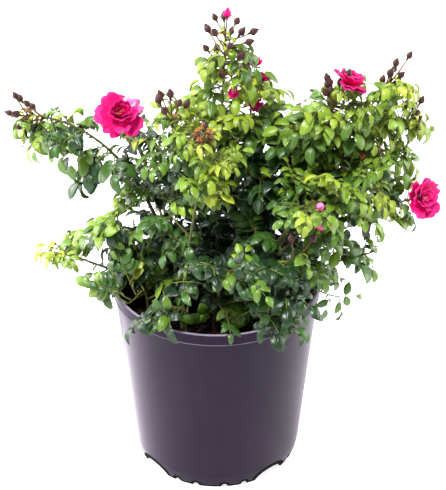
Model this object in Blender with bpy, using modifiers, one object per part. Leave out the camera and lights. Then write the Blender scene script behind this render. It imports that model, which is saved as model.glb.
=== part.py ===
"""Rose bush in a nursery pot, in metres, +Z up, standing on the centre of the pot's underside.

The pot holds a filled bed of potting mix. A low woody crown sits on the mix and canes rise from it
and from the mix round it. Each cane ends where it enters its own mass of foliage: one stem with
seeded sprays of leaves, and with the buds or the bloom that the shoot carries.
"""

import math
import random

import bmesh
import bpy
from mathutils import Matrix, Vector
from mathutils.bvhtree import BVHTree

# Driving sizes of the pot
POT_HEIGHT = 0.225
RIM_RADIUS = 0.115
FOOT_RADIUS = 0.092
WALL = 0.0022
BAND_HEIGHT = 0.013  # the thicker band round the rim
BAND_STEP = 0.0022  # how far the band stands out from the wall below it
BAND_DRAFT = 0.0008  # how much narrower the band is at its lower edge
BAND_LIP = 0.0007  # how far the band's lower edge stands out again
RIM_WIDTH = 0.0030
EDGE_ROUND = 0.0013
SKIRT_HEIGHT = 0.016  # where the wall starts to turn in to the feet
SKIRT_WALL = 0.0035
SKIRT_FLARE = 0.0035  # how much wider the pot is at the top of its skirt than at its feet
FOOT_FLARE = 0.0018  # the same a third of the way up the skirt
BASE_RADIUS = 0.064  # the flat underside that stands level with the feet
GUTTER_HEIGHT = 0.013  # top of the floor over the drain gutter between the base and the feet
GUTTER_SLOPE = 0.005
POT_SEGMENTS = 48
POT_FEET = 4
FOOT_TURN = math.radians(-95)  # middle of the foot nearest the front
NOTCH_HALF_WIDTH = 0.0195
NOTCH_HEIGHT = 0.012
BITE_HALF_WIDTH = 0.0032
BITE_HEIGHT = 0.0042
BITE_TURN = math.radians(24)  # from a foot's middle to its two small bites
CUTTER_LENGTH = 0.030
CUTTER_SIDES = 16

# Driving sizes of the plant
SOIL_TOP = 0.195
CLEARANCE = 0.0003
SLOPED_CLEARANCE = 1.4 * CLEARANCE  # the same, measured across where the wall between slopes
CROWN_RADIUS = 0.022
CROWN_HEIGHT = 0.018
CROWN_RINGS = 6
CROWN_SEGMENTS = 20
CANE_FOOT_RADIUS = 0.0028
CANE_TIP_RADIUS = 0.0017
CANE_FLARE = 1.3  # how much wider a cane is where it leaves the mix or the crown
CANE_SECTIONS = 5
STEM_TIP_RADIUS = 0.0010
SIDE_BOUGH_SHARE = 0.8  # a side bough's foot against its cane's
STEM_SECTIONS = 4
LEAF_LENGTH = 0.044
LEAF_WIDTH = 0.028
LEAF_WIDEST = 0.42  # where a leaf is widest, as a share of its length
LEAF_RIDGE = 0.0016  # how far the midrib stands up at its highest
TWIG_RADIUS = 0.0012
SPRAY_LENGTH = 0.036
SPRAY_SIZES = (1.12, 0.68)  # how large a spray is at the foot of a shoot and at its tip
FIRST_GAP = 0.75  # from a stem's foot to its first spray, against the gap between two sprays
LAST_GAP = 0.5  # the same from its last spray to its tip
SPRAY_OPEN = (0.9, 1.25)  # least and most angle between a spray and its stem, in radians
SPRAY_TURN_RANGE = 0.25  # how far a spray strays from the golden turn, in radians
SPRAY_LEAVES = ((0, 1.0), (62, 0.55), (-62, 0.62))  # each leaf's turn, and its place along the twig
LEAF_TURN_RANGE = 12  # how far a leaf strays from that turn, in degrees
LEAF_DROOP = (-0.45, -0.05)
LEAF_UPWARD = 0.75  # how strongly a leaf's face turns up, against outward
LEAF_FACE_RANGE = 0.35
LEAF_TRIES = 4
PIECE_CLEARANCE = 0.0009  # how much larger a piece is taken to be when it is kept off the rest
BUD_LENGTH = 0.013
BUD_RADIUS = 0.0036
PEDICEL_LENGTH = 0.022
PEDICEL_LENGTHS = (0.75, 1.1)  # least and most, as a share of that length
PEDICEL_RADIUS = 0.0010
PEDICEL_SINK = 0.004  # how far below a shoot's tip its stalks start
PEDICEL_SPREAD = (0.5, 0.8)
FIRST_PEDICEL_SPREAD = 0.15
BUD_SINK = 0.003
BUD_WAIST = 0.4  # where a bud is widest, as a share of its length
GOLDEN_TURN = math.radians(137.5)
SINK = 0.0007  # how deep a leaf's root lies in the end of its twig

# Each shoot: azimuth of its tip in degrees (0 is +X, -90 the front), how far the tip stands from
# the pot's axis, how high it is over the rim, how early it arches over (0 late, 1 early), the
# share of its length that is bare cane, its sprays of leaves, and what it carries at its tip.
SHOOTS = {
    "top_spire": (63, 0.022, 0.284, 0.05, 0.45, 6, "buds"),
    "spire_shoulder": (50, 0.064, 0.213, 0.20, 0.45, 5, "bloom"),
    "left_dome": (-147, 0.054, 0.212, 0.10, 0.38, 7, "buds"),
    "front_dome": (-101, 0.064, 0.202, 0.05, 0.34, 7, "buds"),
    "left_arm": (180, 0.198, 0.198, 0.75, 0.50, 6, "buds"),
    "left_bloom": (184, 0.099, 0.197, 0.30, 0.45, 3, "bloom"),
    "left_low": (180, 0.166, 0.032, 0.55, 0.30, 5, None),
    "left_middle": (-171, 0.112, 0.076, 0.55, 0.30, 5, None),
    "centre": (40, 0.058, 0.150, 0.15, 0.30, 5, None),
    "right_inner": (14, 0.094, 0.180, 0.25, 0.30, 6, None),
    "right_top_bloom": (2, 0.130, 0.221, 0.25, 0.50, 4, "bloom"),
    "right_spire": (11, 0.189, 0.222, 0.35, 0.50, 6, "buds"),
    "right_end": (5, 0.205, 0.184, 0.50, 0.45, 6, "buds"),
    "right_dome": (-17, 0.156, 0.146, 0.40, 0.35, 7, None),
    "front_right_dome": (-38, 0.124, 0.140, 0.30, 0.30, 7, None),
    "right_bloom": (0, 0.211, 0.098, 0.60, 0.40, 4, "bloom"),
    "right_low": (-6, 0.166, 0.040, 0.60, 0.30, 5, None),
    "front_right": (-46, 0.124, 0.084, 0.40, 0.25, 6, "buds"),
    "front_low": (-80, 0.104, 0.076, 0.40, 0.25, 6, None),
    "back_left": (131, 0.150, 0.122, 0.45, 0.35, 6, "buds"),
    "back": (98, 0.164, 0.082, 0.45, 0.35, 5, "bloom"),
    "back_right": (52, 0.162, 0.118, 0.45, 0.35, 6, None),
    "right_back": (26, 0.184, 0.106, 0.45, 0.35, 5, "buds"),
    "back_left_low": (160, 0.120, 0.040, 0.60, 0.25, 5, None),
    "back_low": (118, 0.152, 0.026, 0.60, 0.25, 5, None),
    "back_right_low": (70, 0.158, 0.036, 0.60, 0.25, 5, None),
    "left_rim": (-148, 0.112, 0.004, 0.60, 0.0, 4, None),
    "front_left_rim": (-116, 0.108, 0.014, 0.60, 0.0, 4, None),
    "front_rim": (-84, 0.110, 0.016, 0.60, 0.0, 4, None),
    "front_right_rim": (-54, 0.122, 0.004, 0.70, 0.0, 4, None),
    "right_rim": (-20, 0.140, 0.004, 0.70, 0.0, 3, None),
}
# Where each shoot starts: on the crown at an azimuth and a lift over the mix, both in degrees,
# in the mix at an azimuth and a distance from the pot's axis, or at a share of another's length.
STARTS = {
    "top_spire": ("crown", 85, 68),
    "spire_shoulder": ("crown", 40, 32),
    "left_dome": ("crown", -150, 32),
    "front_dome": ("mix", -124, 0.066),
    "left_arm": ("mix", 172, 0.050),
    "left_bloom": ("left_arm", 0.44),
    "left_low": ("mix", -166, 0.072),
    "left_middle": ("left_arm", 0.26),
    "centre": ("crown", -35, 68),
    "right_inner": ("centre", 0.28),
    "right_top_bloom": ("crown", -28, 32),
    "right_spire": ("crown", 9, 32),
    "right_end": ("mix", 2, 0.056),
    "right_dome": ("crown", -66, 32),
    "front_right_dome": ("mix", -46, 0.052),
    "right_bloom": ("right_end", 0.40),
    "right_low": ("mix", -8, 0.080),
    "front_right": ("mix", -60, 0.072),
    "front_low": ("mix", -92, 0.060),
    "back_left": ("crown", 152, 32),
    "back": ("crown", 112, 32),
    "back_right": ("crown", 76, 32),
    "right_back": ("mix", 32, 0.066),
    "back_left_low": ("mix", 158, 0.070),
    "back_low": ("mix", 120, 0.070),
    "back_right_low": ("mix", 72, 0.070),
    "left_rim": ("mix", -150, 0.086),
    "front_left_rim": ("mix", -112, 0.086),
    "front_rim": ("mix", -84, 0.088),
    "front_right_rim": ("mix", -52, 0.088),
    "right_rim": ("mix", -26, 0.088),
}
# How wide a bloom is, and where it faces: azimuth and height of its axis in degrees.
BLOOMS = {
    "left_bloom": (0.050, -82, 38),
    "right_top_bloom": (0.038, -60, 62),
    "right_bloom": (0.046, -25, 8),
    "spire_shoulder": (0.030, 20, 40),
    "back": (0.044, 100, 50),
}
BLOOM_DEPTH = 0.48  # as a share of the bloom's width
BLOOM_LOBES = 5
BLOOM_LOBE_SIZE = 0.10
BLOOM_STALK_LENGTH = 0.016
BLOOM_STALK_RADIUS = 0.0016
BLOOM_STALK_SINK = 0.002
BLOOM_LIFT = 0.008  # from a shoot's tip to the back of its bloom
BUDS_ON_A_SHOOT = 3
CROWN_CENTRE = Vector((0.0, 0.0, 0.26))  # the point that the leaves turn their backs on

# How a shoot runs from its foot to its tip
FIRST_REACH = 0.36  # how far it holds its first heading, and its last, as a share of its length
FOOT_BOW = 0.6  # how much of the sideways bow is in its lower half
LAST_SPREAD = 1.6  # how flat an arching shoot is at its tip
LAST_DROP = 0.8  # how far the tip of a shoot that arches early hangs
DROP_FROM = 0.5  # the arch from which a tip hangs
SIDE_STEP = 0.006  # how much further a shoot is bowed aside at each try to find a clear way
SIDE_TRIES = 8
RIM_SHOOT_RISE = 0.070  # how high a shoot of the rim aims before it turns out over the rim
FORK_OPEN = math.radians(50)  # between a side bough and its cane
FORK_LENGTH = 0.014  # how far along a side bough its clearance from its cane isn't measured
WAY_POINTS = 48  # how many steps a shoot's path is tested in
WAY_ROOM = 1.1  # the room between two paths, against the radii of both
WAY_GAP = 0.0012  # and what is added to it
STEM_GAP = 1.5 * CLEARANCE  # between a cane's tip and the stem that carries on from it
STEM_STEP = 0.0002  # share of a shoot's length by which that gap is felt for
SLOPE_STEP = 0.01  # share of a curve on each side of a point that its direction is taken over

SHARP_ANGLE = math.radians(35)
WELD = 1e-6
TURN_MERGE = 1e-5

COLOURS = {
    "pot": ((0.055, 0.038, 0.062, 1), 0.38),
    "potting_mix": ((0.035, 0.018, 0.020, 1), 0.95),
    "bark": ((0.16, 0.09, 0.05, 1), 0.80),
    "cane": ((0.20, 0.27, 0.08, 1), 0.55),
    "foliage": ((0.10, 0.27, 0.05, 1), 0.45),
}


def clear_scene():
    for obj in list(bpy.data.objects):
        bpy.data.objects.remove(obj, do_unlink=True)


def new_collection(name, hidden=False):
    collection = bpy.data.collections.new(name)
    bpy.context.scene.collection.children.link(collection)
    collection.hide_render = hidden
    return collection


def material(name):
    """A Principled material with the named colour and roughness."""
    made = bpy.data.materials.new(name)
    made.use_nodes = True
    shader = made.node_tree.nodes["Principled BSDF"]
    colour, roughness = COLOURS[name]
    shader.inputs["Base Color"].default_value = colour
    shader.inputs["Roughness"].default_value = roughness
    shader.inputs["Metallic"].default_value = 0.0
    made.diffuse_color = colour
    return made


def link_mesh(name, mesh, collection, finish=None):
    obj = bpy.data.objects.new(name, mesh)
    collection.objects.link(obj)
    if finish:
        mesh.materials.append(finish)
    return obj


def evaluated_mesh(obj):
    """A new mesh of the object with its modifiers applied."""
    bpy.context.view_layer.update()
    graph = bpy.context.evaluated_depsgraph_get()
    return bpy.data.meshes.new_from_object(obj.evaluated_get(graph))


def settle(obj):
    """Applies the object's modifiers."""
    mesh = evaluated_mesh(obj)
    obj.modifiers.clear()
    obj.data = mesh
    mesh.name = obj.name
    return obj


def round_off(obj):
    """Shades the object smooth, with its real edges kept sharp."""
    obj.data.shade_smooth()
    obj.data.set_sharp_from_angle(angle=SHARP_ANGLE)
    return obj


def welded_mesh(obj):
    """The object's mesh with its loose caps welded on, facing out."""
    mesh = evaluated_mesh(obj)
    shape = bmesh.new()
    shape.from_mesh(mesh)
    bmesh.ops.remove_doubles(shape, verts=shape.verts, dist=WELD)
    bmesh.ops.recalc_face_normals(shape, faces=shape.faces)
    shape.to_mesh(mesh)
    shape.free()
    return mesh


def turned(name, profile, segments, collection, finish):
    """A closed turned shape. The profile is (radius, height) points, down the outside first."""
    mesh = bpy.data.meshes.new(name)
    shape = bmesh.new()
    points = [shape.verts.new((radius, 0, height)) for radius, height in profile]
    for start, end in zip(points, points[1:]):
        shape.edges.new((start, end))
    if profile[0][0] > 0:
        shape.edges.new((points[-1], points[0]))
    shape.to_mesh(mesh)
    shape.free()
    obj = link_mesh(name, mesh, collection, finish)
    screw = obj.modifiers.new("turn", "SCREW")
    screw.steps = screw.render_steps = segments
    screw.use_merge_vertices = True
    screw.merge_threshold = TURN_MERGE
    return obj


# The pot and its potting mix


def wall_radius(height):
    """Outside radius of the pot's plain tapered wall."""
    share = (height - SKIRT_HEIGHT) / (POT_HEIGHT - BAND_HEIGHT - SKIRT_HEIGHT)
    low = FOOT_RADIUS + SKIRT_FLARE
    return low + (RIM_RADIUS - BAND_STEP - low) * share


def pot_profile():
    """Down the outside to the feet, in under the gutter to the flat base, and back up inside."""
    band = POT_HEIGHT - BAND_HEIGHT
    skirt = FOOT_RADIUS - SKIRT_WALL
    return [
        (RIM_RADIUS - RIM_WIDTH, POT_HEIGHT),
        (RIM_RADIUS, POT_HEIGHT - EDGE_ROUND),
        (RIM_RADIUS - BAND_DRAFT, band + EDGE_ROUND),
        (RIM_RADIUS - BAND_DRAFT + BAND_LIP, band),
        (wall_radius(band), band - EDGE_ROUND),
        (wall_radius(SKIRT_HEIGHT), SKIRT_HEIGHT),
        (FOOT_RADIUS + FOOT_FLARE, SKIRT_HEIGHT / 3),
        (FOOT_RADIUS, 0.0),
        (skirt, 0.0),
        (skirt, GUTTER_HEIGHT - WALL),
        (BASE_RADIUS + GUTTER_SLOPE, GUTTER_HEIGHT - WALL),
        (BASE_RADIUS, 0.0),
        (0.0, 0.0),
        (0.0, WALL),
        (BASE_RADIUS - WALL, WALL),
        (BASE_RADIUS + GUTTER_SLOPE - WALL, GUTTER_HEIGHT),
        (wall_radius(GUTTER_HEIGHT) - WALL, GUTTER_HEIGHT),
        (wall_radius(band) - WALL, band - EDGE_ROUND),
    ]


def radial_cutter(half_width, height, azimuth, collection):
    """An arch that lies along a radius, through the skirt and no further."""
    bpy.ops.mesh.primitive_cylinder_add(
        vertices=CUTTER_SIDES, radius=1, depth=CUTTER_LENGTH, rotation=(0, math.pi / 2, 0)
    )
    cutter = bpy.context.object
    cutter.name = "notch_cutter"
    cutter.data.transform(
        Matrix.Rotation(azimuth, 4, "Z")
        @ Matrix.Translation((FOOT_RADIUS, 0, 0))
        @ Matrix.Diagonal((1, half_width, height, 1))
        @ cutter.matrix_world
    )
    cutter.matrix_world = Matrix.Identity(4)
    for old in list(cutter.users_collection):
        old.objects.unlink(cutter)
    collection.objects.link(cutter)
    cutter.hide_render = True
    cutter.display_type = "WIRE"
    return cutter


def make_pot(parts, cutters, finish):
    pot = turned("pot", pot_profile(), POT_SEGMENTS, parts, finish)
    for foot in range(POT_FEET):
        middle = FOOT_TURN + foot * 2 * math.pi / POT_FEET
        notch = middle + math.pi / POT_FEET
        radial_cutter(NOTCH_HALF_WIDTH, NOTCH_HEIGHT, notch, cutters)
        for side in (-1, 1):
            radial_cutter(BITE_HALF_WIDTH, BITE_HEIGHT, middle + side * BITE_TURN, cutters)
    cut = pot.modifiers.new("notches", "BOOLEAN")
    cut.operation = "DIFFERENCE"
    cut.operand_type = "COLLECTION"
    cut.collection = cutters
    cut.solver = "EXACT"
    return round_off(settle(pot))


def make_potting_mix(parts, finish):
    """The bed of mix fills the pot to SOIL_TOP and keeps clear of it all round."""
    low = GUTTER_HEIGHT + CLEARANCE
    clear = WALL + SLOPED_CLEARANCE
    profile = [
        (0.0, SOIL_TOP),
        (wall_radius(SOIL_TOP) - clear, SOIL_TOP),
        (wall_radius(low) - clear, low),
        (BASE_RADIUS + GUTTER_SLOPE - clear, low),
        (BASE_RADIUS - clear, WALL + CLEARANCE),
        (0.0, WALL + CLEARANCE),
    ]
    return round_off(settle(turned("potting_mix", profile, POT_SEGMENTS, parts, finish)))


def make_crown(parts, finish):
    """The low woody knuckle that the inner canes rise from, cut flat where it meets the mix."""
    foot = SOIL_TOP + CLEARANCE
    profile = [(0.0, foot + CROWN_HEIGHT)]
    for ring in range(1, CROWN_RINGS + 1):
        lift = math.radians(90 * (1 - ring / CROWN_RINGS))
        profile.append(
            (CROWN_RADIUS * math.cos(lift), foot + CROWN_HEIGHT * math.sin(lift))
        )
    profile.append((0.0, foot))
    return round_off(settle(turned("crown", profile, CROWN_SEGMENTS, parts, finish)))


# The paths of the shoots


def on_circle(azimuth_deg, radius, height):
    turn = math.radians(azimuth_deg)
    return Vector((radius * math.cos(turn), radius * math.sin(turn), height))


def bezier(points, share):
    """A point on the cubic curve through its first and last of four points."""
    a, b, c, d = points
    rest = 1 - share
    return (
        a * rest**3 + b * 3 * rest**2 * share + c * 3 * rest * share**2 + d * share**3
    )


def slope(points, share):
    """The direction of the cubic curve at a share of its length."""
    low, high = max(0, share - SLOPE_STEP), min(1, share + SLOPE_STEP)
    return (bezier(points, high) - bezier(points, low)).normalized()


def shoot_foot(name, curves):
    """Where a shoot starts, and which way it leaves."""
    kind = STARTS[name][0]
    if kind == "mix":
        azimuth, distance = STARTS[name][1:]
        return on_circle(azimuth, distance, SOIL_TOP + CLEARANCE), Vector((0, 0, 1))
    if kind == "crown":
        azimuth, lift = STARTS[name][1:]
        lift = math.radians(lift)
        surface = on_circle(
            azimuth,
            CROWN_RADIUS * math.cos(lift),
            SOIL_TOP + CLEARANCE + CROWN_HEIGHT * math.sin(lift),
        )
        outward = on_circle(
            azimuth, math.cos(lift) / CROWN_RADIUS, math.sin(lift) / CROWN_HEIGHT
        ).normalized()
        return surface + outward * CLEARANCE, outward
    parent = curves[kind]
    share = STARTS[name][1]
    along = slope(parent, share)
    aside = tip_of(name) - bezier(parent, share)
    aside = (aside - along * aside.dot(along)).normalized()
    heading = along * math.cos(FORK_OPEN) + aside * math.sin(FORK_OPEN)
    reach = cane_radius(kind, share) + CLEARANCE + cane_radius(name, 0) * math.cos(FORK_OPEN)
    return bezier(parent, share) + heading * reach / math.sin(FORK_OPEN), heading


def tip_of(name):
    azimuth, reach, rise = SHOOTS[name][:3]
    return on_circle(azimuth, reach, POT_HEIGHT + rise)


def cane_radius(name, share):
    """A cane's radius at a share of its shoot's length, without the flare at its foot."""
    bare = SHOOTS[name][4] or 1
    foot = CANE_FOOT_RADIUS
    if STARTS[name][0] in SHOOTS or not SHOOTS[name][4]:
        foot *= SIDE_BOUGH_SHARE
    return foot + (CANE_TIP_RADIUS - foot) * min(1, share / bare)


def shoot_curve(name, curves, side_step):
    """Four control points from a shoot's foot to its tip, bowed sideways by side_step."""
    arch = SHOOTS[name][3]
    tip = tip_of(name)
    foot, heading = shoot_foot(name, curves)
    flat = (tip - foot) * Vector((1, 1, 0))
    length = (tip - foot).length
    rise = RIM_SHOOT_RISE if not SHOOTS[name][4] else length * FIRST_REACH
    side = flat.cross(Vector((0, 0, 1))).normalized() * side_step
    last = Vector((0, 0, 1)) * (1 - arch) * flat.length + flat * LAST_SPREAD * arch
    last.z -= max(0, arch - DROP_FROM) * LAST_DROP * flat.length
    near = tip - last.normalized() * length * FIRST_REACH
    return [foot, foot + heading * rise + side * FOOT_BOW, near + side, tip]


def tube(name, points, radii, rounding, collection, finish=None):
    """A tapering limb with closed ends, of four sides or, with a rounding of 1, of six."""
    curve = bpy.data.curves.new(name, "CURVE")
    curve.dimensions = "3D"
    curve.bevel_depth = 1
    curve.bevel_resolution = rounding
    curve.use_fill_caps = True
    spline = curve.splines.new("POLY")
    spline.points.add(len(points) - 1)
    for point, place, radius in zip(spline.points, points, radii):
        point.co = (*place, 1)
        point.radius = radius
    guide = bpy.data.objects.new(name + "_guide", curve)
    bpy.context.scene.collection.objects.link(guide)
    mesh = welded_mesh(guide)
    bpy.data.objects.remove(guide)
    foot = points[0]
    for vert in mesh.vertices:
        if (vert.co - foot).length < 2 * radii[0]:
            vert.co.z = max(vert.co.z, SOIL_TOP + CLEARANCE)
    mesh.name = name
    return link_mesh(name, mesh, collection, finish)


def tree_of(mesh, grow=0.0):
    """A search tree of a mesh, with each point moved out from the middle by grow."""
    points = [vert.co.copy() for vert in mesh.vertices]
    middle = sum(points, Vector()) / len(points)
    if grow:
        points = [p + (p - middle).normalized() * grow for p in points]
    return BVHTree.FromPolygons(points, [list(face.vertices) for face in mesh.polygons])


def limb_points(curve, start, end, sections):
    return [bezier(curve, start + (end - start) * i / sections) for i in range(sections + 1)]


def way_of(name, curve):
    """Points close together along a shoot, each with its radius."""
    shares = [i / WAY_POINTS for i in range(WAY_POINTS + 1)]
    return [(bezier(curve, share), cane_radius(name, share)) for share in shares]


def is_clear(way, taken, parent):
    """Whether a path keeps its distance from the paths already taken, its parent's beyond the fork."""
    foot = way[0][0]
    for owner, path in taken.items():
        free = FORK_LENGTH if owner == parent else 0
        for place, radius in way:
            if (place - foot).length < free:
                continue
            for other, other_radius in path:
                if (place - other).length < (radius + other_radius) * WAY_ROOM + WAY_GAP:
                    return False
    return True


def plan_shoots():
    """A curve for each shoot, bowed aside in steps until it is clear of those before it."""
    curves, taken = {}, {}
    for name in SHOOTS:
        for attempt in range(2 * SIDE_TRIES):
            side_step = SIDE_STEP * ((attempt + 1) // 2) * (-1) ** attempt
            curve = shoot_curve(name, curves, side_step)
            way = way_of(name, curve)
            if is_clear(way, taken, STARTS[name][0]):
                break
        else:
            raise RuntimeError(name + " finds no clear way")
        curves[name] = curve
        taken[name] = way
    return curves


# Leaves, buds and blooms


def frame_at(place, heading, upward):
    """A matrix whose +X runs along heading, with +Z as near upward as it can be."""
    x = heading.normalized()
    y = upward.cross(x)
    if y.length < WELD:
        y = Vector((0, 1, 0)).cross(x)
    y.normalize()
    z = x.cross(y)
    turn = Matrix((x, y, z)).transposed().to_4x4()
    return Matrix.Translation(place) @ turn


def leaf_mesh():
    """One leaf of six faces, root at the origin and tip along +X, with a ridge for its midrib."""
    shape = bmesh.new()
    bmesh.ops.create_uvsphere(shape, u_segments=3, v_segments=2, radius=1)
    for vert in shape.verts:
        across, ridge, along = vert.co
        middle = abs(along) < 0.5
        vert.co = (
            LEAF_LENGTH * (LEAF_WIDEST if middle else (along + 1) / 2),
            LEAF_WIDTH * across / math.sqrt(3),
            LEAF_RIDGE * ridge,
        )
    mesh = bpy.data.meshes.new("leaf")
    shape.to_mesh(mesh)
    shape.free()
    return mesh


def bud_mesh():
    """One closed bud, root at the origin and point along +X."""
    shape = bmesh.new()
    bmesh.ops.create_uvsphere(shape, u_segments=4, v_segments=2, radius=1)
    for vert in shape.verts:
        x, y, z = vert.co
        reach = 1 - BUD_WAIST if z > 0 else BUD_WAIST
        vert.co = (BUD_LENGTH * (BUD_WAIST + reach * z), BUD_RADIUS * x, BUD_RADIUS * y)
    mesh = bpy.data.meshes.new("bud")
    shape.to_mesh(mesh)
    shape.free()
    return mesh


def bloom_mesh(width):
    """One open double bloom, its back at the origin and facing +X: a lobed bowl with a domed heart."""
    shape = bmesh.new()
    bmesh.ops.create_uvsphere(shape, u_segments=10, v_segments=4, radius=1)
    for vert in shape.verts:
        x, y, z = vert.co
        lobe = 1
        if abs(z) < 1:
            lobe += BLOOM_LOBE_SIZE * math.cos(BLOOM_LOBES * math.atan2(y, x))
        vert.co = (
            width * BLOOM_DEPTH / 2 * (1 + z),
            width / 2 * x * lobe,
            width / 2 * y * lobe,
        )
    mesh = bpy.data.meshes.new("bloom")
    shape.to_mesh(mesh)
    shape.free()
    return mesh


def twig_mesh(length, radius):
    """A straight three-sided twig from the origin along +X."""
    shape = bmesh.new()
    bmesh.ops.create_cone(
        shape,
        cap_ends=True,
        segments=3,
        radius1=radius,
        radius2=radius,
        depth=length,
        matrix=Matrix.Translation((length / 2, 0, 0)) @ Matrix.Rotation(math.pi / 2, 4, "Y"),
    )
    mesh = bpy.data.meshes.new("twig")
    shape.to_mesh(mesh)
    shape.free()
    return mesh


class Growth:
    """All that has been placed so far, so that each new piece is kept clear of it."""

    def __init__(self):
        self.placed = []

    def note(self, mesh, owner, leaf=False):
        points = [vert.co for vert in mesh.vertices]
        middle = sum(points, Vector()) / len(points)
        radius = max((point - middle).length for point in points)
        self.placed.append((owner, leaf, middle, radius, tree_of(mesh)))

    def meets(self, mesh, owner, leaf=False):
        """Whether a mesh comes near another owner's piece. A leaf also keeps off its own leaves."""
        points = [vert.co for vert in mesh.vertices]
        middle = sum(points, Vector()) / len(points)
        radius = max((point - middle).length for point in points) + PIECE_CLEARANCE
        tree = tree_of(mesh, PIECE_CLEARANCE)
        for other, other_leaf, other_middle, other_radius, other_tree in self.placed:
            if other == owner and not (leaf and other_leaf):
                continue
            if (middle - other_middle).length > radius + other_radius:
                continue
            if tree.overlap(other_tree):
                return True
        return False


class Mass:
    """One mass of foliage: its stem, and the pieces that are fused to it later."""

    def __init__(self, name, stem, growth):
        self.name = name
        self.stem = stem
        self.growth = growth
        self.pieces = new_collection(name + "_pieces", hidden=True)

    def add(self, mesh, place, leaf=False):
        """Places a copy of mesh where it is clear, and says whether it was."""
        copy = mesh.copy()
        copy.transform(place)
        if self.growth.meets(copy, self.name, leaf):
            return False
        self.growth.note(copy, self.name, leaf)
        link_mesh(self.name + "_piece", copy, self.pieces)
        return True


def add_leaf(mass, leaf, rng, base, heading, sink, size):
    """A leaf that droops from its base and turns its face up and outward, where it finds room."""
    outward = (base - CROWN_CENTRE).normalized()
    for _ in range(LEAF_TRIES):
        droop = Vector((0, 0, rng.uniform(*LEAF_DROOP)))
        lead = (heading + droop).normalized()
        turn = Vector([rng.uniform(-LEAF_FACE_RANGE, LEAF_FACE_RANGE) for _ in range(3)])
        face = Vector((0, 0, LEAF_UPWARD)) + outward + turn
        place = frame_at(base - lead * sink, lead, face.normalized())
        if mass.add(leaf, place @ Matrix.Scale(size, 4), leaf=True):
            return


def add_spray(mass, leaf, rng, place, heading, size):
    """A twig with a leaf at its end and one on each side."""
    up = Vector((0, 0, 1))
    length = SPRAY_LENGTH * size
    if not mass.add(twig_mesh(length, TWIG_RADIUS), frame_at(place, heading, up)):
        return
    axis = heading.cross(up).cross(heading)
    for turn, along in SPRAY_LEAVES:
        stray = rng.uniform(-LEAF_TURN_RANGE, LEAF_TURN_RANGE)
        aim = Matrix.Rotation(math.radians(turn + stray), 4, axis)
        base = place + heading * length * along
        add_leaf(mass, leaf, rng, base, aim @ heading, SINK if turn == 0 else SINK / 2, size)


def sprays_of(name, curve, start, count):
    """Where each spray of a shoot leaves its stem: the place, the heading and the size."""
    rng = random.Random(name)
    turn = rng.uniform(0, 2 * math.pi)
    gaps = FIRST_GAP + count - 1 + LAST_GAP
    for index in range(count):
        share = start + (1 - start) * (index + FIRST_GAP) / gaps
        place = bezier(curve, share)
        along = slope(curve, share)
        turn += GOLDEN_TURN + rng.uniform(-SPRAY_TURN_RANGE, SPRAY_TURN_RANGE)
        across = along.orthogonal().normalized()
        across.rotate(Matrix.Rotation(turn, 3, along))
        open_by = rng.uniform(*SPRAY_OPEN)
        heading = (along * math.cos(open_by) + across * math.sin(open_by)).normalized()
        yield rng, place, heading, SPRAY_SIZES[0] + (SPRAY_SIZES[1] - SPRAY_SIZES[0]) * share


def add_buds(mass, rng, tip, along):
    """A loose head of buds on stalks that spread from a shoot's tip."""
    bud = bud_mesh()
    root = tip - along * PEDICEL_SINK
    for index in range(BUDS_ON_A_SHOOT):
        spread = rng.uniform(*PEDICEL_SPREAD) if index else FIRST_PEDICEL_SPREAD
        across = along.orthogonal().normalized()
        across.rotate(Matrix.Rotation(index * GOLDEN_TURN, 3, along))
        heading = (along * math.cos(spread) + across * math.sin(spread)).normalized()
        length = PEDICEL_LENGTH * rng.uniform(*PEDICEL_LENGTHS)
        if mass.add(twig_mesh(length, PEDICEL_RADIUS), frame_at(root, heading, along)):
            mass.add(bud, frame_at(root + heading * (length - BUD_SINK), heading, along))


def add_bloom(mass, tip, along):
    """A bloom at a shoot's tip, on a short stalk that turns to face its own way."""
    width, azimuth, height = BLOOMS[mass.name]
    facing = on_circle(azimuth, math.cos(math.radians(height)), math.sin(math.radians(height)))
    stalk = twig_mesh(BLOOM_STALK_LENGTH, BLOOM_STALK_RADIUS)
    mass.add(stalk, frame_at(tip - along * BLOOM_STALK_SINK, facing, along))
    mass.add(bloom_mesh(width), frame_at(tip + facing * BLOOM_LIFT, facing, along))


def fuse(mass, finish):
    """Makes the mass one closed mesh: sealed hollows and loose scraps are taken out."""
    stem = mass.stem
    join = stem.modifiers.new("fuse", "BOOLEAN")
    join.operation = "UNION"
    join.operand_type = "COLLECTION"
    join.collection = mass.pieces
    join.solver = "EXACT"
    settle(stem)
    for obj in list(mass.pieces.objects):
        bpy.data.objects.remove(obj, do_unlink=True)
    bpy.data.collections.remove(mass.pieces)
    stem.data.materials.clear()
    stem.data.materials.append(finish)
    keep_largest_shell(stem.data)


def keep_largest_shell(mesh):
    """Leaves only the shell with the most points, so nothing loose or sealed in stays."""
    shape = bmesh.new()
    shape.from_mesh(mesh)
    bmesh.ops.triangulate(shape, faces=shape.faces)
    shells, seen = [], set()
    for seed in shape.verts:
        if seed in seen:
            continue
        shell, queue = [], [seed]
        seen.add(seed)
        while queue:
            vert = queue.pop()
            shell.append(vert)
            for edge in vert.link_edges:
                other = edge.other_vert(vert)
                if other not in seen:
                    seen.add(other)
                    queue.append(other)
        shells.append(shell)
    largest = max(shells, key=len)
    loose = [vert for shell in shells if shell is not largest for vert in shell]
    bmesh.ops.delete(shape, geom=loose, context="VERTS")
    shape.to_mesh(mesh)
    shape.free()


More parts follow.
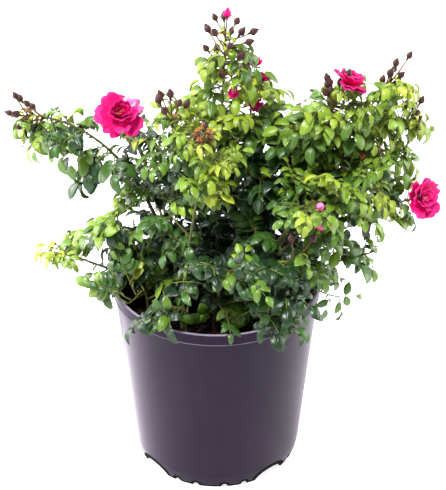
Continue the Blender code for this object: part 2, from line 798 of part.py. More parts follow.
def make_stem(name, curve, parts):
    """The bare stem of a mass, which carries on from its cane's tip or rises from the mix."""
    bare = SHOOTS[name][4]
    begin = bare
    while bare and (bezier(curve, begin) - bezier(curve, bare)).length < STEM_GAP:
        begin += STEM_STEP
    points = limb_points(curve, begin, 1, STEM_SECTIONS)
    radii = [
        CANE_TIP_RADIUS + (STEM_TIP_RADIUS - CANE_TIP_RADIUS) * i / STEM_SECTIONS
        for i in range(STEM_SECTIONS + 1)
    ]
    return tube(name + "_foliage", points, radii, 0, parts)


def make_cane(name, curve, parts, finish):
    bare = SHOOTS[name][4]
    points = limb_points(curve, 0, bare, CANE_SECTIONS)
    radii = [cane_radius(name, bare * i / CANE_SECTIONS) for i in range(CANE_SECTIONS + 1)]
    if STARTS[name][0] not in SHOOTS:
        radii[0] *= CANE_FLARE
    return round_off(tube(name + "_cane", points, radii, 1, parts, finish))


def add_head(mass, curve):
    """The buds or the bloom at a shoot's tip."""
    tip, along = curve[3], slope(curve, 1)
    carries = SHOOTS[mass.name][6]
    if carries == "buds":
        add_buds(mass, random.Random(mass.name + " tip"), tip, along)
    elif carries == "bloom":
        add_bloom(mass, tip, along)


def add_leaves(mass, curve):
    """The sprays of a shoot and, where it carries nothing else, a leaf at its tip."""
    bare, count, carries = SHOOTS[mass.name][4:]
    leaf = leaf_mesh()
    for rng, place, heading, size in sprays_of(mass.name, curve, bare, count):
        add_spray(mass, leaf, rng, place, heading, size)
    if not carries:
        rng = random.Random(mass.name + " end")
        add_leaf(mass, leaf, rng, curve[3], slope(curve, 1), SINK, SPRAY_SIZES[1])


def main():
    clear_scene()
    parts = new_collection("rose_bush")
    cutters = new_collection("cutters", hidden=True)
    finishes = {name: material(name) for name in COLOURS}

    pot = make_pot(parts, cutters, finishes["pot"])
    potting_mix = make_potting_mix(parts, finishes["potting_mix"])
    crown = make_crown(parts, finishes["bark"])
    growth = Growth()
    for fixed in (pot, potting_mix, crown):
        growth.note(fixed.data, fixed.name)

    curves = plan_shoots()
    masses = []
    for name, curve in curves.items():
        if SHOOTS[name][4]:
            growth.note(make_cane(name, curve, parts, finishes["cane"]).data, name + " cane")
        stem = make_stem(name, curve, parts)
        growth.note(stem.data, name)
        masses.append(Mass(name, stem, growth))
    for mass in masses:
        add_head(mass, curves[mass.name])
    for mass in masses:
        add_leaves(mass, curves[mass.name])
    for mass in masses:
        fuse(mass, finishes["foliage"])


main()
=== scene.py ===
import math
import random

import bmesh
import bpy
import numpy as np
from mathutils import Matrix, Vector


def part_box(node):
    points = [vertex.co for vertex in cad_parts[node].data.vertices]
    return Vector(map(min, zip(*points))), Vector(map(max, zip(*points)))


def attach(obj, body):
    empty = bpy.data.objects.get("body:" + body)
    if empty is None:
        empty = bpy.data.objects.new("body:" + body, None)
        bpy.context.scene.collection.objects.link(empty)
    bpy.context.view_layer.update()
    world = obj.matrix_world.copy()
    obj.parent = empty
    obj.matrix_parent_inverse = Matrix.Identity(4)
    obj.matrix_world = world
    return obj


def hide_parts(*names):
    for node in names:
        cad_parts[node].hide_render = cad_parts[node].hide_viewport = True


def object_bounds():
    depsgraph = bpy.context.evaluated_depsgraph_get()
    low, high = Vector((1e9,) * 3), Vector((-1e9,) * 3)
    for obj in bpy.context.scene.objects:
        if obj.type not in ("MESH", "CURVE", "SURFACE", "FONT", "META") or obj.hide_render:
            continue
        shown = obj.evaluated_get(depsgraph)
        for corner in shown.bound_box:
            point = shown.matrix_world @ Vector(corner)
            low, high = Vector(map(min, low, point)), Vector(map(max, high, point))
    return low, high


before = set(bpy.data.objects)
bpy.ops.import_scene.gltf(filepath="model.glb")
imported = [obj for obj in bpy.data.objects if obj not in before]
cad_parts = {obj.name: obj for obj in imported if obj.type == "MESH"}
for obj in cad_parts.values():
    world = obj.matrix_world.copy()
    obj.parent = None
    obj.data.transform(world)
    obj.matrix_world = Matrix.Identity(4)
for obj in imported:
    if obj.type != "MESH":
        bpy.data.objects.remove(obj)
cadLow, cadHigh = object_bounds()
bpy.ops.object.select_all(action="DESELECT")
up = Vector((0, 0, 1))
print("frame loaded")


# Camera, floor and light

view = {
    "place": (0.0, -1.3318, 1.0836), "tilt": 31.575, "turn": -0.2975, "lens": 105.25, "sensor": 36.0,
    "clipEnd": 40,
}
studio = {
    "floorSize": 14.0,
    "floorColour": (0.58, 0.58, 0.59, 1),
    "floorGlow": 0.80,
    "skyColour": (0.93, 0.97, 1.0, 1),
    "skyStrength": 0.12,
    "horizon": (0.16, 0.34),
    "horizonStrength": 1.2,
    "sunFrom": (-0.30, -0.46, 1.30),
    "sunStrength": 4.95,
    "sunWidth": 12,
    # each panel: place, aim, size, power, colour
    "panels": (
        ((-1.5, 0.35, 0.75), (0, 0, 0.15), 1.3, 56, (1.0, 0.99, 0.97)),
        ((1.6, 0.45, 0.75), (0, 0, 0.15), 1.2, 31, (1.0, 1.0, 1.0)),
        ((-0.3, 1.3, 1.9), (0, 0, 0.38), 1.1, 34, (0.97, 0.99, 1.0)),
    ),
}


def setCamera():
    turn = (math.radians(90 - view["tilt"]), 0, math.radians(view["turn"]))
    bpy.ops.object.camera_add(location=view["place"], rotation=turn)
    camera = bpy.context.object
    camera.data.lens = view["lens"]
    camera.data.sensor_width = view["sensor"]
    camera.data.clip_end = view["clipEnd"]
    bpy.context.scene.camera = camera


def setSky():
    scene = bpy.context.scene
    scene.view_settings.view_transform = "Standard"
    world = bpy.data.worlds.new("studio")
    world.use_nodes = True
    scene.world = world
    nodes, links = world.node_tree.nodes, world.node_tree.links
    sky = nodes["Background"]
    direction = nodes.new("ShaderNodeTexCoord")
    parts = nodes.new("ShaderNodeSeparateXYZ")
    fade = nodes.new("ShaderNodeMapRange")
    fade.interpolation_type = "SMOOTHSTEP"
    fade.inputs["From Min"].default_value, fade.inputs["From Max"].default_value = studio["horizon"]
    fade.inputs["To Min"].default_value = studio["horizonStrength"]
    fade.inputs["To Max"].default_value = studio["skyStrength"]
    links.new(direction.outputs["Generated"], parts.inputs[0])
    links.new(parts.outputs["Z"], fade.inputs["Value"])
    links.new(fade.outputs["Result"], sky.inputs["Strength"])
    sky.inputs["Color"].default_value = studio["skyColour"]


def setLights():
    turn = Vector(studio["sunFrom"]).to_track_quat("Z", "Y").to_euler()
    bpy.ops.object.light_add(type="SUN", rotation=turn)
    sun = bpy.context.object.data
    sun.energy = studio["sunStrength"]
    sun.angle = math.radians(studio["sunWidth"])
    for place, aim, size, power, colour in studio["panels"]:
        turn = (Vector(aim) - Vector(place)).to_track_quat("-Z", "Y").to_euler()
        bpy.ops.object.light_add(type="AREA", location=place, rotation=turn)
        light = bpy.context.object.data
        light.size = size
        light.energy = power
        light.color = colour


def setFloor():
    bpy.ops.mesh.primitive_plane_add(size=studio["floorSize"], location=(0, 0, 0))
    floor = bpy.context.object
    floor.name = "floor"
    cloth = Finish("paleFloor", {
        "Base Color": studio["floorColour"], "Roughness": 0.9, "Specular IOR Level": 0.1,
        "Emission Color": (1, 1, 1, 1), "Emission Strength": studio["floorGlow"],
    })
    floor.data.materials.append(cloth.material)


# Finishes: Wire is one output of a node, and plain arithmetic on it adds Math nodes

class Wire:
    def __init__(self, finish, socket):
        self.finish = finish
        self.socket = socket

    def maths(self, kind, first, second, clamp=False):
        settings = {"operation": kind, "use_clamp": clamp}
        return self.finish.node("Math", settings, {0: first, 1: second})

    def __add__(self, other):
        return self.maths("ADD", self, other)

    __radd__ = __add__

    def __sub__(self, other):
        return self.maths("SUBTRACT", self, other)

    def __rsub__(self, other):
        return self.maths("SUBTRACT", other, self)

    def __mul__(self, other):
        return self.maths("MULTIPLY", self, other)

    __rmul__ = __mul__

    def __truediv__(self, other):
        return self.maths("DIVIDE", self, other)

    def __pow__(self, other):
        return self.maths("POWER", self, other)

    def ripple(self):
        # a sine wave between 0 and 1
        return self.maths("SINE", self, 0) * 0.5 + 0.5

    def size(self):
        return self.maths("ABSOLUTE", self, 0)

    def clamped(self):
        return self.maths("ADD", self, 0, clamp=True)


class Finish:
    def __init__(self, name, uniform):
        self.material = bpy.data.materials.new(name)
        self.material.use_nodes = True
        self.tree = self.material.node_tree
        self.shader = self.tree.nodes["Principled BSDF"]
        for socket, value in uniform.items():
            self.shader.inputs[socket].default_value = value

    def node(self, kind, settings, values, output=0):
        made = self.tree.nodes.new("ShaderNode" + kind)
        for key, value in settings.items():
            setattr(made, key, value)
        for key, value in values.items():
            if isinstance(value, Wire):
                self.tree.links.new(value.socket, made.inputs[key])
            else:
                made.inputs[key].default_value = value
        return Wire(self, made.outputs[output])

    def place(self):
        return self.node("TexCoord", {}, {}, "Object")

    def axis(self, number):
        # 0 along the piece's own map, 1 across it
        uv = self.node("UVMap", {"uv_map": "UVMap"}, {})
        return self.node("SeparateXYZ", {}, {0: uv}, number)

    def shade(self):
        # the copy's own value, from 0 to 1
        return self.node("Attribute", {"attribute_name": "shade"}, {}, "Fac")

    def noise(self, scale, detail=3.0, roughness=0.55, vector=None):
        values = {"Vector": vector or self.place(), "Scale": scale, "Detail": detail, "Roughness": roughness}
        return self.node("TexNoise", {}, values)

    def mix(self, share, first, second, blend="MIX"):
        settings = {"data_type": "RGBA", "blend_type": blend}
        return self.node("Mix", settings, {"Factor": share, 6: first, 7: second}, 2)

    def bump(self, height, strength, distance):
        return self.node("Bump", {}, {"Height": height, "Strength": strength, "Distance": distance})

    def over(self, share, uniform):
        # a second shader laid over the first where the share is high
        first = Wire(self, self.shader.outputs[0])
        second = self.node("BsdfPrincipled", {}, uniform)
        both = self.node("MixShader", {}, {0: share, 1: first, 2: second})
        self.tree.links.new(both.socket, self.tree.nodes["Material Output"].inputs["Surface"])

    def made(self, body, roughness, height, strength, distance):
        # the material, with what changes over its surface fed into the shader
        wires = {"Base Color": body, "Roughness": roughness, "Normal": self.bump(height, strength, distance)}
        for socket, wire in wires.items():
            if isinstance(wire, Wire):
                self.tree.links.new(wire.socket, self.shader.inputs[socket])
        return self.material


def linearOf(level):
    # from a screen level of 0 to 255, by the screen's own curve, to the value that a shader takes
    share = level / 255
    return share / 12.92 if level <= 10 else ((share + 0.055) / 1.055) ** 2.4


def colour(*levels):
    return (*[linearOf(level) for level in levels], 1)


def mixed(first, second, share):
    return tuple(a + (b - a) * share for a, b in zip(first, second))


def scaled(base, factors):
    return (*[min(1, level * factor) for level, factor in zip(base, factors)], 1)


black = (0, 0, 0, 1)
leafLooks = {
    # each tint: upper face, underside, how warm its margin is
    "bronze": ((122, 92, 42), (146, 104, 62), 0.3),
    "young": ((148, 167, 50), (164, 176, 90), 0.36),
    "bright": ((126, 152, 41), (146, 160, 80), 0.28),
    "fresh": ((107, 140, 37), (128, 150, 74), 0.22),
    "middle": ((82, 117, 35), (108, 132, 70), 0.12),
    "deep": ((54, 90, 33), (84, 110, 62), 0.04),
    "dark": ((37, 69, 30), (66, 93, 54), 0.0),
    "shade": ((25, 49, 28), (50, 73, 48), 0.0),
}
# the darkest tints, dark and shade, are partly painted shade for the leaves deep in the crown
tints = list(leafLooks)[1:]  # in order of age; bronze is for the tips alone
leafSkin = {
    "midrib": 8, "veins": 52, "veinSlant": 0.30, "veinSharpness": 3, "patches": 75, "patchFrom": 0.45,
    "patchGain": 1.3, "darker": (0.50, 0.58, 0.60), "lighter": (1.55, 1.42, 1.15), "ribs": (2.3, 2.0, 2.2),
    "midribShare": 0.40, "veinShare": 0.14, "edgeFrom": 0.84, "edgeGain": 4, "edge": (0.24, 0.10, 0.02, 1),
    "midribSink": -0.7, "veinSink": -0.35, "patchRise": 0.25, "bump": (0.40, 0.0006),
    "roughness": (0.24, 0.55), "roughRange": 0.20, "specular": (0.5, 0.25),  # upper face, underside
}


def leafFinish(name, screen, warmth, isUnder):
    skin = leafSkin
    base = colour(*screen)
    finish = Finish(name, {"Specular IOR Level": skin["specular"][isUnder]})
    side = (finish.axis(1) - 0.5).size() * 2
    midrib = (1 - side * skin["midrib"]).clamped()
    veins = ((finish.axis(0) - side * skin["veinSlant"]) * skin["veins"]).ripple()
    veins = veins ** skin["veinSharpness"] * (1 - side).clamped()
    patches = finish.noise(skin["patches"])
    dark = scaled(base, skin["darker"])
    body = finish.mix(finish.shade(), dark, scaled(base, skin["lighter"]))
    body = finish.mix((patches - skin["patchFrom"]).clamped() * skin["patchGain"], body, dark)
    ribs = (midrib * skin["midribShare"] + veins * skin["veinShare"]).clamped()
    body = finish.mix(ribs, body, scaled(base, skin["ribs"]))
    edge = (side - skin["edgeFrom"]).clamped() * skin["edgeGain"]  # a warm line along the margin
    body = finish.mix(edge.clamped() * warmth, body, skin["edge"])
    height = midrib * skin["midribSink"] + veins * skin["veinSink"] + patches * skin["patchRise"]
    roughness = patches * skin["roughRange"] + skin["roughness"][isUnder]
    return finish.made(body, roughness, height, *skin["bump"])


barkSkin = {
    "specular": 0.4, "stretch": (1, 1, 0.28), "streaks": 420, "patches": 55, "patchGain": 1.7,
    "patchFrom": 0.45, "streakFrom": 0.5, "streakGain": 1.6, "darken": 0.4, "roughRange": 0.25,
    "smoother": 0.12, "depth": 0.0008,
}


def stemFinish(name, screen, streak, roughness, relief):
    skin = barkSkin
    finish = Finish(name, {"Specular IOR Level": skin["specular"]})
    stretched = finish.node("Mapping", {}, {"Vector": finish.place(), "Scale": skin["stretch"]})
    streaks = finish.noise(skin["streaks"], detail=4, vector=stretched)
    patches = (finish.noise(skin["patches"]) * skin["patchGain"] - skin["patchFrom"]).clamped()
    body = finish.mix(patches, colour(*screen), colour(*streak))
    lines = (streaks - skin["streakFrom"]).clamped() * skin["streakGain"]
    body = finish.mix(lines, body, mixed(colour(*streak), black, skin["darken"]))
    rough = streaks * skin["roughRange"] + (roughness - skin["smoother"])
    return finish.made(body, rough, streaks, relief, skin["depth"])


petalSkin = {
    # the outer ends of the petals are lightened as a painted highlight
    "specular": 0.2, "ribs": 95, "heartGain": 3.0, "edgeFrom": 0.78, "edgeGain": 4.0, "endHighlightShare": 0.45,
    "ribShare": 0.20, "ribColour": (0.2, 0, 0.03, 1), "ribDepth": 0.6, "highlightFrom": 0.6, "highlightGain": 2.6,
    # a pale lavender painted highlight: where it starts in the shade value, how it grows along the petal,
    # and its colour
    "highlightAlong": 1.3, "highlightBase": 0.1, "highlightShare": 0.85, "paintedHighlight": (234, 172, 230), "patches": 160,
    "roughRange": 0.2, "roughness": 0.45, "bump": (0.25, 0.0005),
}


def petalFinish(name, screen, heart, edge):
    skin = petalSkin
    finish = Finish(name, {"Specular IOR Level": skin["specular"]})
    along = finish.axis(0)
    ribs = (finish.axis(1) * skin["ribs"]).ripple() * along
    body = finish.mix((along * skin["heartGain"]).clamped(), colour(*heart), colour(*screen))
    # the petal's outer end lightened towards the edge colour as a painted highlight
    endHighlight = ((along - skin["edgeFrom"]) * skin["edgeGain"]).clamped() * skin["endHighlightShare"]
    body = finish.mix(endHighlight, body, colour(*edge))
    ribColour = mixed(colour(*screen), skin["ribColour"], skin["ribDepth"])
    body = finish.mix(ribs * skin["ribShare"], body, ribColour)
    # a pale lavender painted highlight towards the ends of the petals whose shade value is high
    paintedHighlight = ((finish.shade() - skin["highlightFrom"]) * skin["highlightGain"]).clamped()
    paintedHighlight = paintedHighlight * (along * skin["highlightAlong"] + skin["highlightBase"]).clamped()
    body = finish.mix(paintedHighlight * skin["highlightShare"], body, colour(*skin["paintedHighlight"]))
    roughness = finish.noise(skin["patches"]) * skin["roughRange"] + skin["roughness"]
    return finish.made(body, roughness, ribs, *skin["bump"])


budSkin = {
    "specular": 0.35, "patches": 300, "patchGain": 1.5, "patchFrom": 0.3, "ribs": 31.4, "ribShare": 0.35,
    "roughRange": 0.2, "roughness": 0.42, "bump": (0.4, 0.0004),
}


def budFinish(name, screen, shadow):
    skin = budSkin
    finish = Finish(name, {"Specular IOR Level": skin["specular"]})
    patches = finish.noise(skin["patches"])
    ribs = (finish.axis(0) * skin["ribs"]).ripple()
    spots = (patches * skin["patchGain"] - skin["patchFrom"]).clamped()
    body = finish.mix(spots, colour(*screen), colour(*shadow))
    body = finish.mix(ribs * skin["ribShare"], body, colour(*shadow))
    roughness = patches * skin["roughRange"] + skin["roughness"]
    return finish.made(body, roughness, ribs, *skin["bump"])


potSkin = {
    "base": (20, 6, 28), "clouded": (29, 11, 37), "flowed": (56, 36, 62), "dusty": (120, 106, 118),
    # painted shade: the near-black film at the foot, and how strong it is round the bites and along the lip
    "rimHighlight": (150, 138, 158), "paintedShade": (5, 4, 6), "bandGain": 22, "biteShade": 0.6, "lipShade": 0.75,
    # painted highlight: the paler rim colour above, and how wide and strong it is along the rim and the step
    "lipGain": 5, "highlightWidth": 0.8, "topHighlight": 0.8, "topSpread": 0.6, "stepHighlight": 0.55, "clouds": 14,
    "cloudGain": 1.6, "cloudFrom": 0.3, "flow": 60, "flowStretch": (1, 1, 0.07), "flowFrom": 0.5,
    "flowShare": 0.5, "dust": 900, "dustFrom": 0.70, "dustGain": 9, "dustShare": 0.5, "peel": 520,
    "cloudRough": 0.14, "flowRough": 0.08, "roughness": 0.30, "flowRise": 0.5, "bump": (0.10, 0.0008),
}


def edgeBand(aside, height, halfWidth, halfHeight, width):
    # painted shade that runs a little way out from the edge of a rounded cut
    reach = ((aside / (halfWidth + width)) ** 2 + (height / (halfHeight + width)) ** 2) ** 0.5
    return ((1 - reach) * potSkin["bandGain"]).clamped()


def footShade(finish, x, y, z):
    # painted shade round the arches, round the bites and along the foot's lip
    s = potShape
    azimuth = finish.node("Math", {"operation": "ARCTAN2"}, {0: y, 1: x})
    quarter = math.pi / 2
    turned = (azimuth - (math.radians(s["footTurn"] + 45) - quarter / 2)) / quarter
    aside = (turned - finish.node("Math", {"operation": "FLOOR"}, {0: turned}) - 0.5).size() * quarter
    arch = edgeBand(aside * s["foot"], z, s["notchHalf"], s["notchHeight"], s["shadeReach"])
    middle, halfApart = 45 - (s["biteTurn"] + s["innerTurn"]) / 2, (s["biteTurn"] - s["innerTurn"]) / 2
    biteAside = ((aside - math.radians(middle)).size() - math.radians(halfApart)).size() * s["foot"]
    bite = edgeBand(biteAside, z, s["biteHalf"], s["biteHeight"], s["shadeReach"] * potSkin["biteShade"])
    lip = ((1 - z / (s["shadeReach"] * potSkin["lipShade"])) * potSkin["lipGain"]).clamped()
    return (arch + bite + lip).clamped()


def rimHighlights(z):
    # painted highlights along the rim's top edge and along the step under its band
    s, skin = potShape, potSkin
    width = s["edge"] * skin["highlightWidth"]
    top = ((z - (s["height"] - width)) / (s["edge"] * skin["topSpread"])).clamped()
    step = (1 - (z - (s["height"] - s["band"])).size() / width).clamped()
    return (top * skin["topHighlight"] + step * skin["stepHighlight"]).clamped()


def potFinish():
    skin = potSkin
    finish = Finish("satinPlastic", {
        "Specular IOR Level": 0.12, "Sheen Weight": 0.78, "Sheen Roughness": 0.26,
        "Sheen Tint": (0.88, 0.77, 0.92, 1),
    })
    place = finish.place()
    x, y, z = [finish.node("SeparateXYZ", {}, {0: place}, axis) for axis in range(3)]
    # painted shade along the foot's lip and round its arches and bites
    paintedShade = footShade(finish, x, y, z)
    clouds = finish.noise(skin["clouds"], detail=4)
    streaked = finish.node("Mapping", {}, {"Vector": place, "Scale": skin["flowStretch"]})
    flow = finish.noise(skin["flow"], vector=streaked)
    peel, dust = finish.noise(skin["peel"], detail=2), finish.noise(skin["dust"], detail=2)
    cloudy = (clouds * skin["cloudGain"] - skin["cloudFrom"]).clamped()
    body = finish.mix(cloudy, colour(*skin["base"]), colour(*skin["clouded"]))
    flowing = (flow - skin["flowFrom"]).clamped() * skin["flowShare"]
    body = finish.mix(flowing, body, colour(*skin["flowed"]))
    dusty = ((dust - skin["dustFrom"]) * skin["dustGain"]).clamped() * skin["dustShare"]
    body = finish.mix(dusty, body, colour(*skin["dusty"]))
    # the rim's edges lightened as a painted highlight
    body = finish.mix(rimHighlights(z), body, colour(*skin["rimHighlight"]))
    # a near-black, dull shader laid over the foot's edges as painted shade
    shadeFilm = {"Base Color": colour(*skin["paintedShade"]), "Roughness": 0.8, "Specular IOR Level": 0.05}
    finish.over(paintedShade, shadeFilm)
    roughness = clouds * skin["cloudRough"] + flow * skin["flowRough"] + skin["roughness"]
    return finish.made(body, roughness, peel + flow * skin["flowRise"], *skin["bump"])


mixSkin = {
    "crumbs": 700, "patches": 80, "patchGain": 2, "patchFrom": 0.5, "crumbFrom": 0.45, "crumbGain": 1.8,
    "darken": 0.6, "bump": (0.8, 0.002),
}


def mixFinish(name, screen, other):
    skin = mixSkin
    finish = Finish(name, {"Roughness": 0.95, "Specular IOR Level": 0.15})
    crumbs = finish.noise(skin["crumbs"], detail=5)
    patches = (finish.noise(skin["patches"]) * skin["patchGain"] - skin["patchFrom"]).clamped()
    body = finish.mix(patches, colour(*screen), colour(*other))
    dark = mixed(colour(*other), black, skin["darken"])
    body = finish.mix((crumbs - skin["crumbFrom"]).clamped() * skin["crumbGain"], body, dark)
    return finish.made(body, None, crumbs, *skin["bump"])


# Tools of the bench

def activate(obj):
    bpy.ops.object.select_all(action="DESELECT")
    obj.select_set(True)
    bpy.context.view_layer.objects.active = obj


def startEdit(obj):
    activate(obj)
    bpy.ops.object.mode_set(mode="EDIT")
    bpy.ops.mesh.select_mode(type="VERT")
    bpy.ops.mesh.select_all(action="SELECT")


def pick(obj, test):
    # selects the points of an edited mesh that pass the test
    shape = bmesh.from_edit_mesh(obj.data)
    for vert in shape.verts:
        vert.select_set(False)
    for vert in shape.verts:
        if test(vert.co):
            vert.select_set(True)
    shape.select_flush_mode()
    bmesh.update_edit_mesh(obj.data)


def endEdit():
    bpy.ops.object.mode_set(mode="OBJECT")


def endShell():
    # leaves edit mode with every face turned outwards
    bpy.ops.mesh.select_all(action="SELECT")
    bpy.ops.mesh.normals_make_consistent(inside=False)
    endEdit()


def applyModifiers(obj):
    activate(obj)
    for modifier in list(obj.modifiers):
        bpy.ops.object.modifier_apply(modifier=modifier.name)


def applyPlace(obj):
    activate(obj)
    bpy.ops.object.transform_apply(location=True, rotation=True, scale=True)


def addRelief(obj, grain, strength, **settings):
    # clouds of one grain, live until the modifiers are applied
    texture = bpy.data.textures.new("relief", "CLOUDS")
    texture.noise_scale = grain
    lift = obj.modifiers.new("relief", "DISPLACE")
    lift.texture = texture
    lift.texture_coords = "LOCAL"
    lift.strength = strength
    for key, value in settings.items():
        setattr(lift, key, value)


def joined(name, objects):
    bpy.ops.object.select_all(action="DESELECT")
    for obj in objects:
        obj.select_set(True)
    bpy.context.view_layer.objects.active = objects[0]
    bpy.ops.object.join()
    objects[0].name = name
    objects[0].data.name = name
    return objects[0]


def smooth(obj, degrees):
    activate(obj)
    bpy.ops.object.shade_smooth_by_angle(angle=math.radians(degrees))


def dress(obj, finish):
    obj.data.materials.clear()
    obj.data.materials.append(finish)


def seat(obj, slot, *nodes):
    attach(obj, "root")
    if nodes:
        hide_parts(*nodes)


def frameAt(place, heading, upward, size):
    # +X runs along the heading, +Z as near upward as it can be
    x = heading.normalized()
    y = upward.cross(x)
    if y.length < 1e-6:
        y = Vector((0, 1, 0)).cross(x)
    y.normalize()
    turn = Matrix((x, y, x.cross(y))).transposed().to_4x4()
    return Matrix.Translation(place) @ turn @ Matrix.Scale(size, 4)


def numbersOf(items, key, kind=int, width=1):
    values = np.zeros(len(items) * width, kind)
    items.foreach_get(key, values)
    return values.reshape(-1, width) if width > 1 else values


def readShape(obj):
    # a finished template as arrays, and its object is then removed
    mesh = obj.data
    shape = {
        "points": numbersOf(mesh.vertices, "co", float, 3),
        "corners": numbersOf(mesh.loops, "vertex_index"),
        "starts": numbersOf(mesh.polygons, "loop_start"),
        "sizes": numbersOf(mesh.polygons, "loop_total"),
        "slots": numbersOf(mesh.polygons, "material_index"),
        "uv": numbersOf(mesh.uv_layers[0].data, "uv", float, 2),
    }
    bpy.data.objects.remove(obj, do_unlink=True)
    return shape


def joinCopies(name, copies, finishes):
    # one mesh of many placed copies; each copy is a shape, a matrix and a shade from 0 to 1
    parts = {key: [] for key in ("points", "corners", "starts", "sizes", "slots", "uv", "shade")}
    pointCount = cornerCount = 0
    for shape, matrix, shade in copies:
        turn = np.array(matrix)
        placed = {
            **shape,
            "points": shape["points"] @ turn[:3, :3].T + turn[:3, 3],
            "corners": shape["corners"] + pointCount,
            "starts": shape["starts"] + cornerCount,
            "shade": np.full(len(shape["points"]), shade),
        }
        for key, rows in parts.items():
            rows.append(placed[key])
        pointCount += len(shape["points"])
        cornerCount += len(shape["corners"])
    whole = {key: np.concatenate(rows) for key, rows in parts.items()}
    mesh = bpy.data.meshes.new(name)
    mesh.vertices.add(pointCount)
    mesh.vertices.foreach_set("co", whole["points"].ravel())
    mesh.loops.add(cornerCount)
    mesh.loops.foreach_set("vertex_index", whole["corners"])
    mesh.polygons.add(len(whole["starts"]))
    mesh.polygons.foreach_set("loop_start", whole["starts"])
    mesh.polygons.foreach_set("loop_total", whole["sizes"])
    mesh.polygons.foreach_set("material_index", whole["slots"])
    mesh.polygons.foreach_set("use_smooth", np.ones(len(whole["starts"]), bool))
    mesh.uv_layers.new(name="UVMap").data.foreach_set("uv", whole["uv"].ravel())
    mesh.attributes.new("shade", "FLOAT", "POINT").data.foreach_set("value", whole["shade"])
    for finish in finishes:
        mesh.materials.append(finish)
    mesh.update(calc_edges=True)
    mesh.validate()
    obj = bpy.data.objects.new(name, mesh)
    bpy.context.scene.collection.objects.link(obj)
    return obj


def tubes(name, paths, rounding, finish):
    # many round limbs as one mesh; a path is its points and the radius at each
    curve = bpy.data.curves.new(name, "CURVE")
    curve.dimensions = "3D"
    curve.bevel_depth = 1
    curve.bevel_resolution = rounding
    curve.use_fill_caps = True
    for points, radii in paths:
        spline = curve.splines.new("POLY")
        spline.points.add(len(points) - 1)
        spline.points.foreach_set("co", [c for point in points for c in (*point, 1)])
        spline.points.foreach_set("radius", radii)
    obj = bpy.data.objects.new(name, curve)
    bpy.context.scene.collection.objects.link(obj)
    activate(obj)
    bpy.ops.object.convert(target="MESH")
    startEdit(obj)
    bpy.ops.mesh.remove_doubles(threshold=1e-6)
    endEdit()
    obj.data.polygons.foreach_set("use_smooth", [True] * len(obj.data.polygons))
    dress(obj, finish)
    return obj


# The pot

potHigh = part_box("pot")[1]
potShape = {
    "height": potHigh.z, "rim": potHigh.x, "foot": 0.092, "wall": 0.0022, "band": 0.013, "bandStep": 0.0022,
    "bandDraft": 0.0008, "bandLip": 0.0007, "bandRoot": 0.0002, "rimWidth": 0.0030, "edge": 0.0013,
    "skirt": 0.016, "skirtWall": 0.0035, "skirtFlare": 0.0035, "footFlare": 0.0018, "base": 0.064,
    "gutter": 0.013, "gutterSlope": 0.005, "lipEase": 0.0002, "lipDrop": 0.0010, "lipDraft": 0.0004,
    # radius at each corner of the outside, from the rim's inner edge down to the gutter
    "roundings": (0, 0.0011, 0.0005, 0.0004, 0.0006, 0.0012, 0.0010, 0.0008, 0.0008, 0, 0, 0),
    "sides": 160, "feet": 4, "footTurn": -95, "notchHalf": 0.0195, "notchHeight": 0.012,
    # the last value on the next line is how far the painted shade at the foot reaches out from its cuts and
    # lip
    "biteHalf": 0.0036, "biteHeight": 0.0052, "biteTurn": 24, "innerTurn": 10, "shadeReach": 0.0056,
    "roundShare": 0.45, "rimDrop": 0.3, "cutterSides": 40, "cutterDepth": 0.030, "sharpFrom": 32,
}


def wallRadius(height):
    # outside of the plain tapered wall
    top = potShape["height"] - potShape["band"]
    share = (height - potShape["skirt"]) / (top - potShape["skirt"])
    low = potShape["foot"] + potShape["skirtFlare"]
    return low + (potShape["rim"] - potShape["bandStep"] - low) * share


def rounded(points, radii):
    # the outline with each corner that has a radius turned into an arc of four points, which takes
    # less than half of either side
    made = []
    for i, (corner, radius) in enumerate(zip(points, radii)):
        if not radius:
            made.append(corner)
            continue
        here = Vector(corner)
        before = Vector(points[i - 1]) - here
        after = Vector(points[(i + 1) % len(points)]) - here
        reach = min(radius, *[side.length * potShape["roundShare"] for side in (before, after)])
        first, last = here + before.normalized() * reach, here + after.normalized() * reach
        for step in range(4):
            share = step / 3
            rest = 1 - share
            made.append(tuple(first * rest**2 + here * (2 * rest * share) + last * share**2))
    return made


def potOutline():
    s = potShape
    band = s["height"] - s["band"]
    skirt = s["foot"] - s["skirtWall"]
    floor = s["gutter"] - s["wall"]
    lip = s["rim"] - s["rimWidth"]
    outside = (
        (lip, s["height"]),
        (s["rim"], s["height"] - s["edge"] * s["rimDrop"]),
        (s["rim"] - s["bandDraft"], band + s["edge"]),
        (s["rim"] - s["bandDraft"] + s["bandLip"], band),
        (wallRadius(band) + s["bandRoot"], band - s["edge"]),
        (wallRadius(s["skirt"]), s["skirt"]),
        (s["foot"] + s["footFlare"], s["skirt"] / 3),
        (s["foot"], 0.0),
        (skirt, 0.0),
        (skirt, floor),
        (s["base"] + s["gutterSlope"], floor),
        (s["base"], 0.0),
    )
    inside = (
        (lip + s["lipEase"], s["height"] - s["lipEase"]),
        (lip - s["lipDraft"], s["height"] - s["lipDrop"]),
        (wallRadius(band) - s["wall"], band - s["edge"]),
        (wallRadius(s["gutter"]) - s["wall"], s["gutter"]),
        (s["base"] + s["gutterSlope"] - s["wall"], s["gutter"]),
        (s["base"] - s["wall"], s["wall"]),
    )
    return rounded(outside, s["roundings"])[1:], inside


def startRing(sides, radius, height):
    bpy.ops.mesh.primitive_circle_add(vertices=sides, radius=radius, location=(0, 0, height))
    ring = bpy.context.object
    applyPlace(ring)
    startEdit(ring)
    return ring


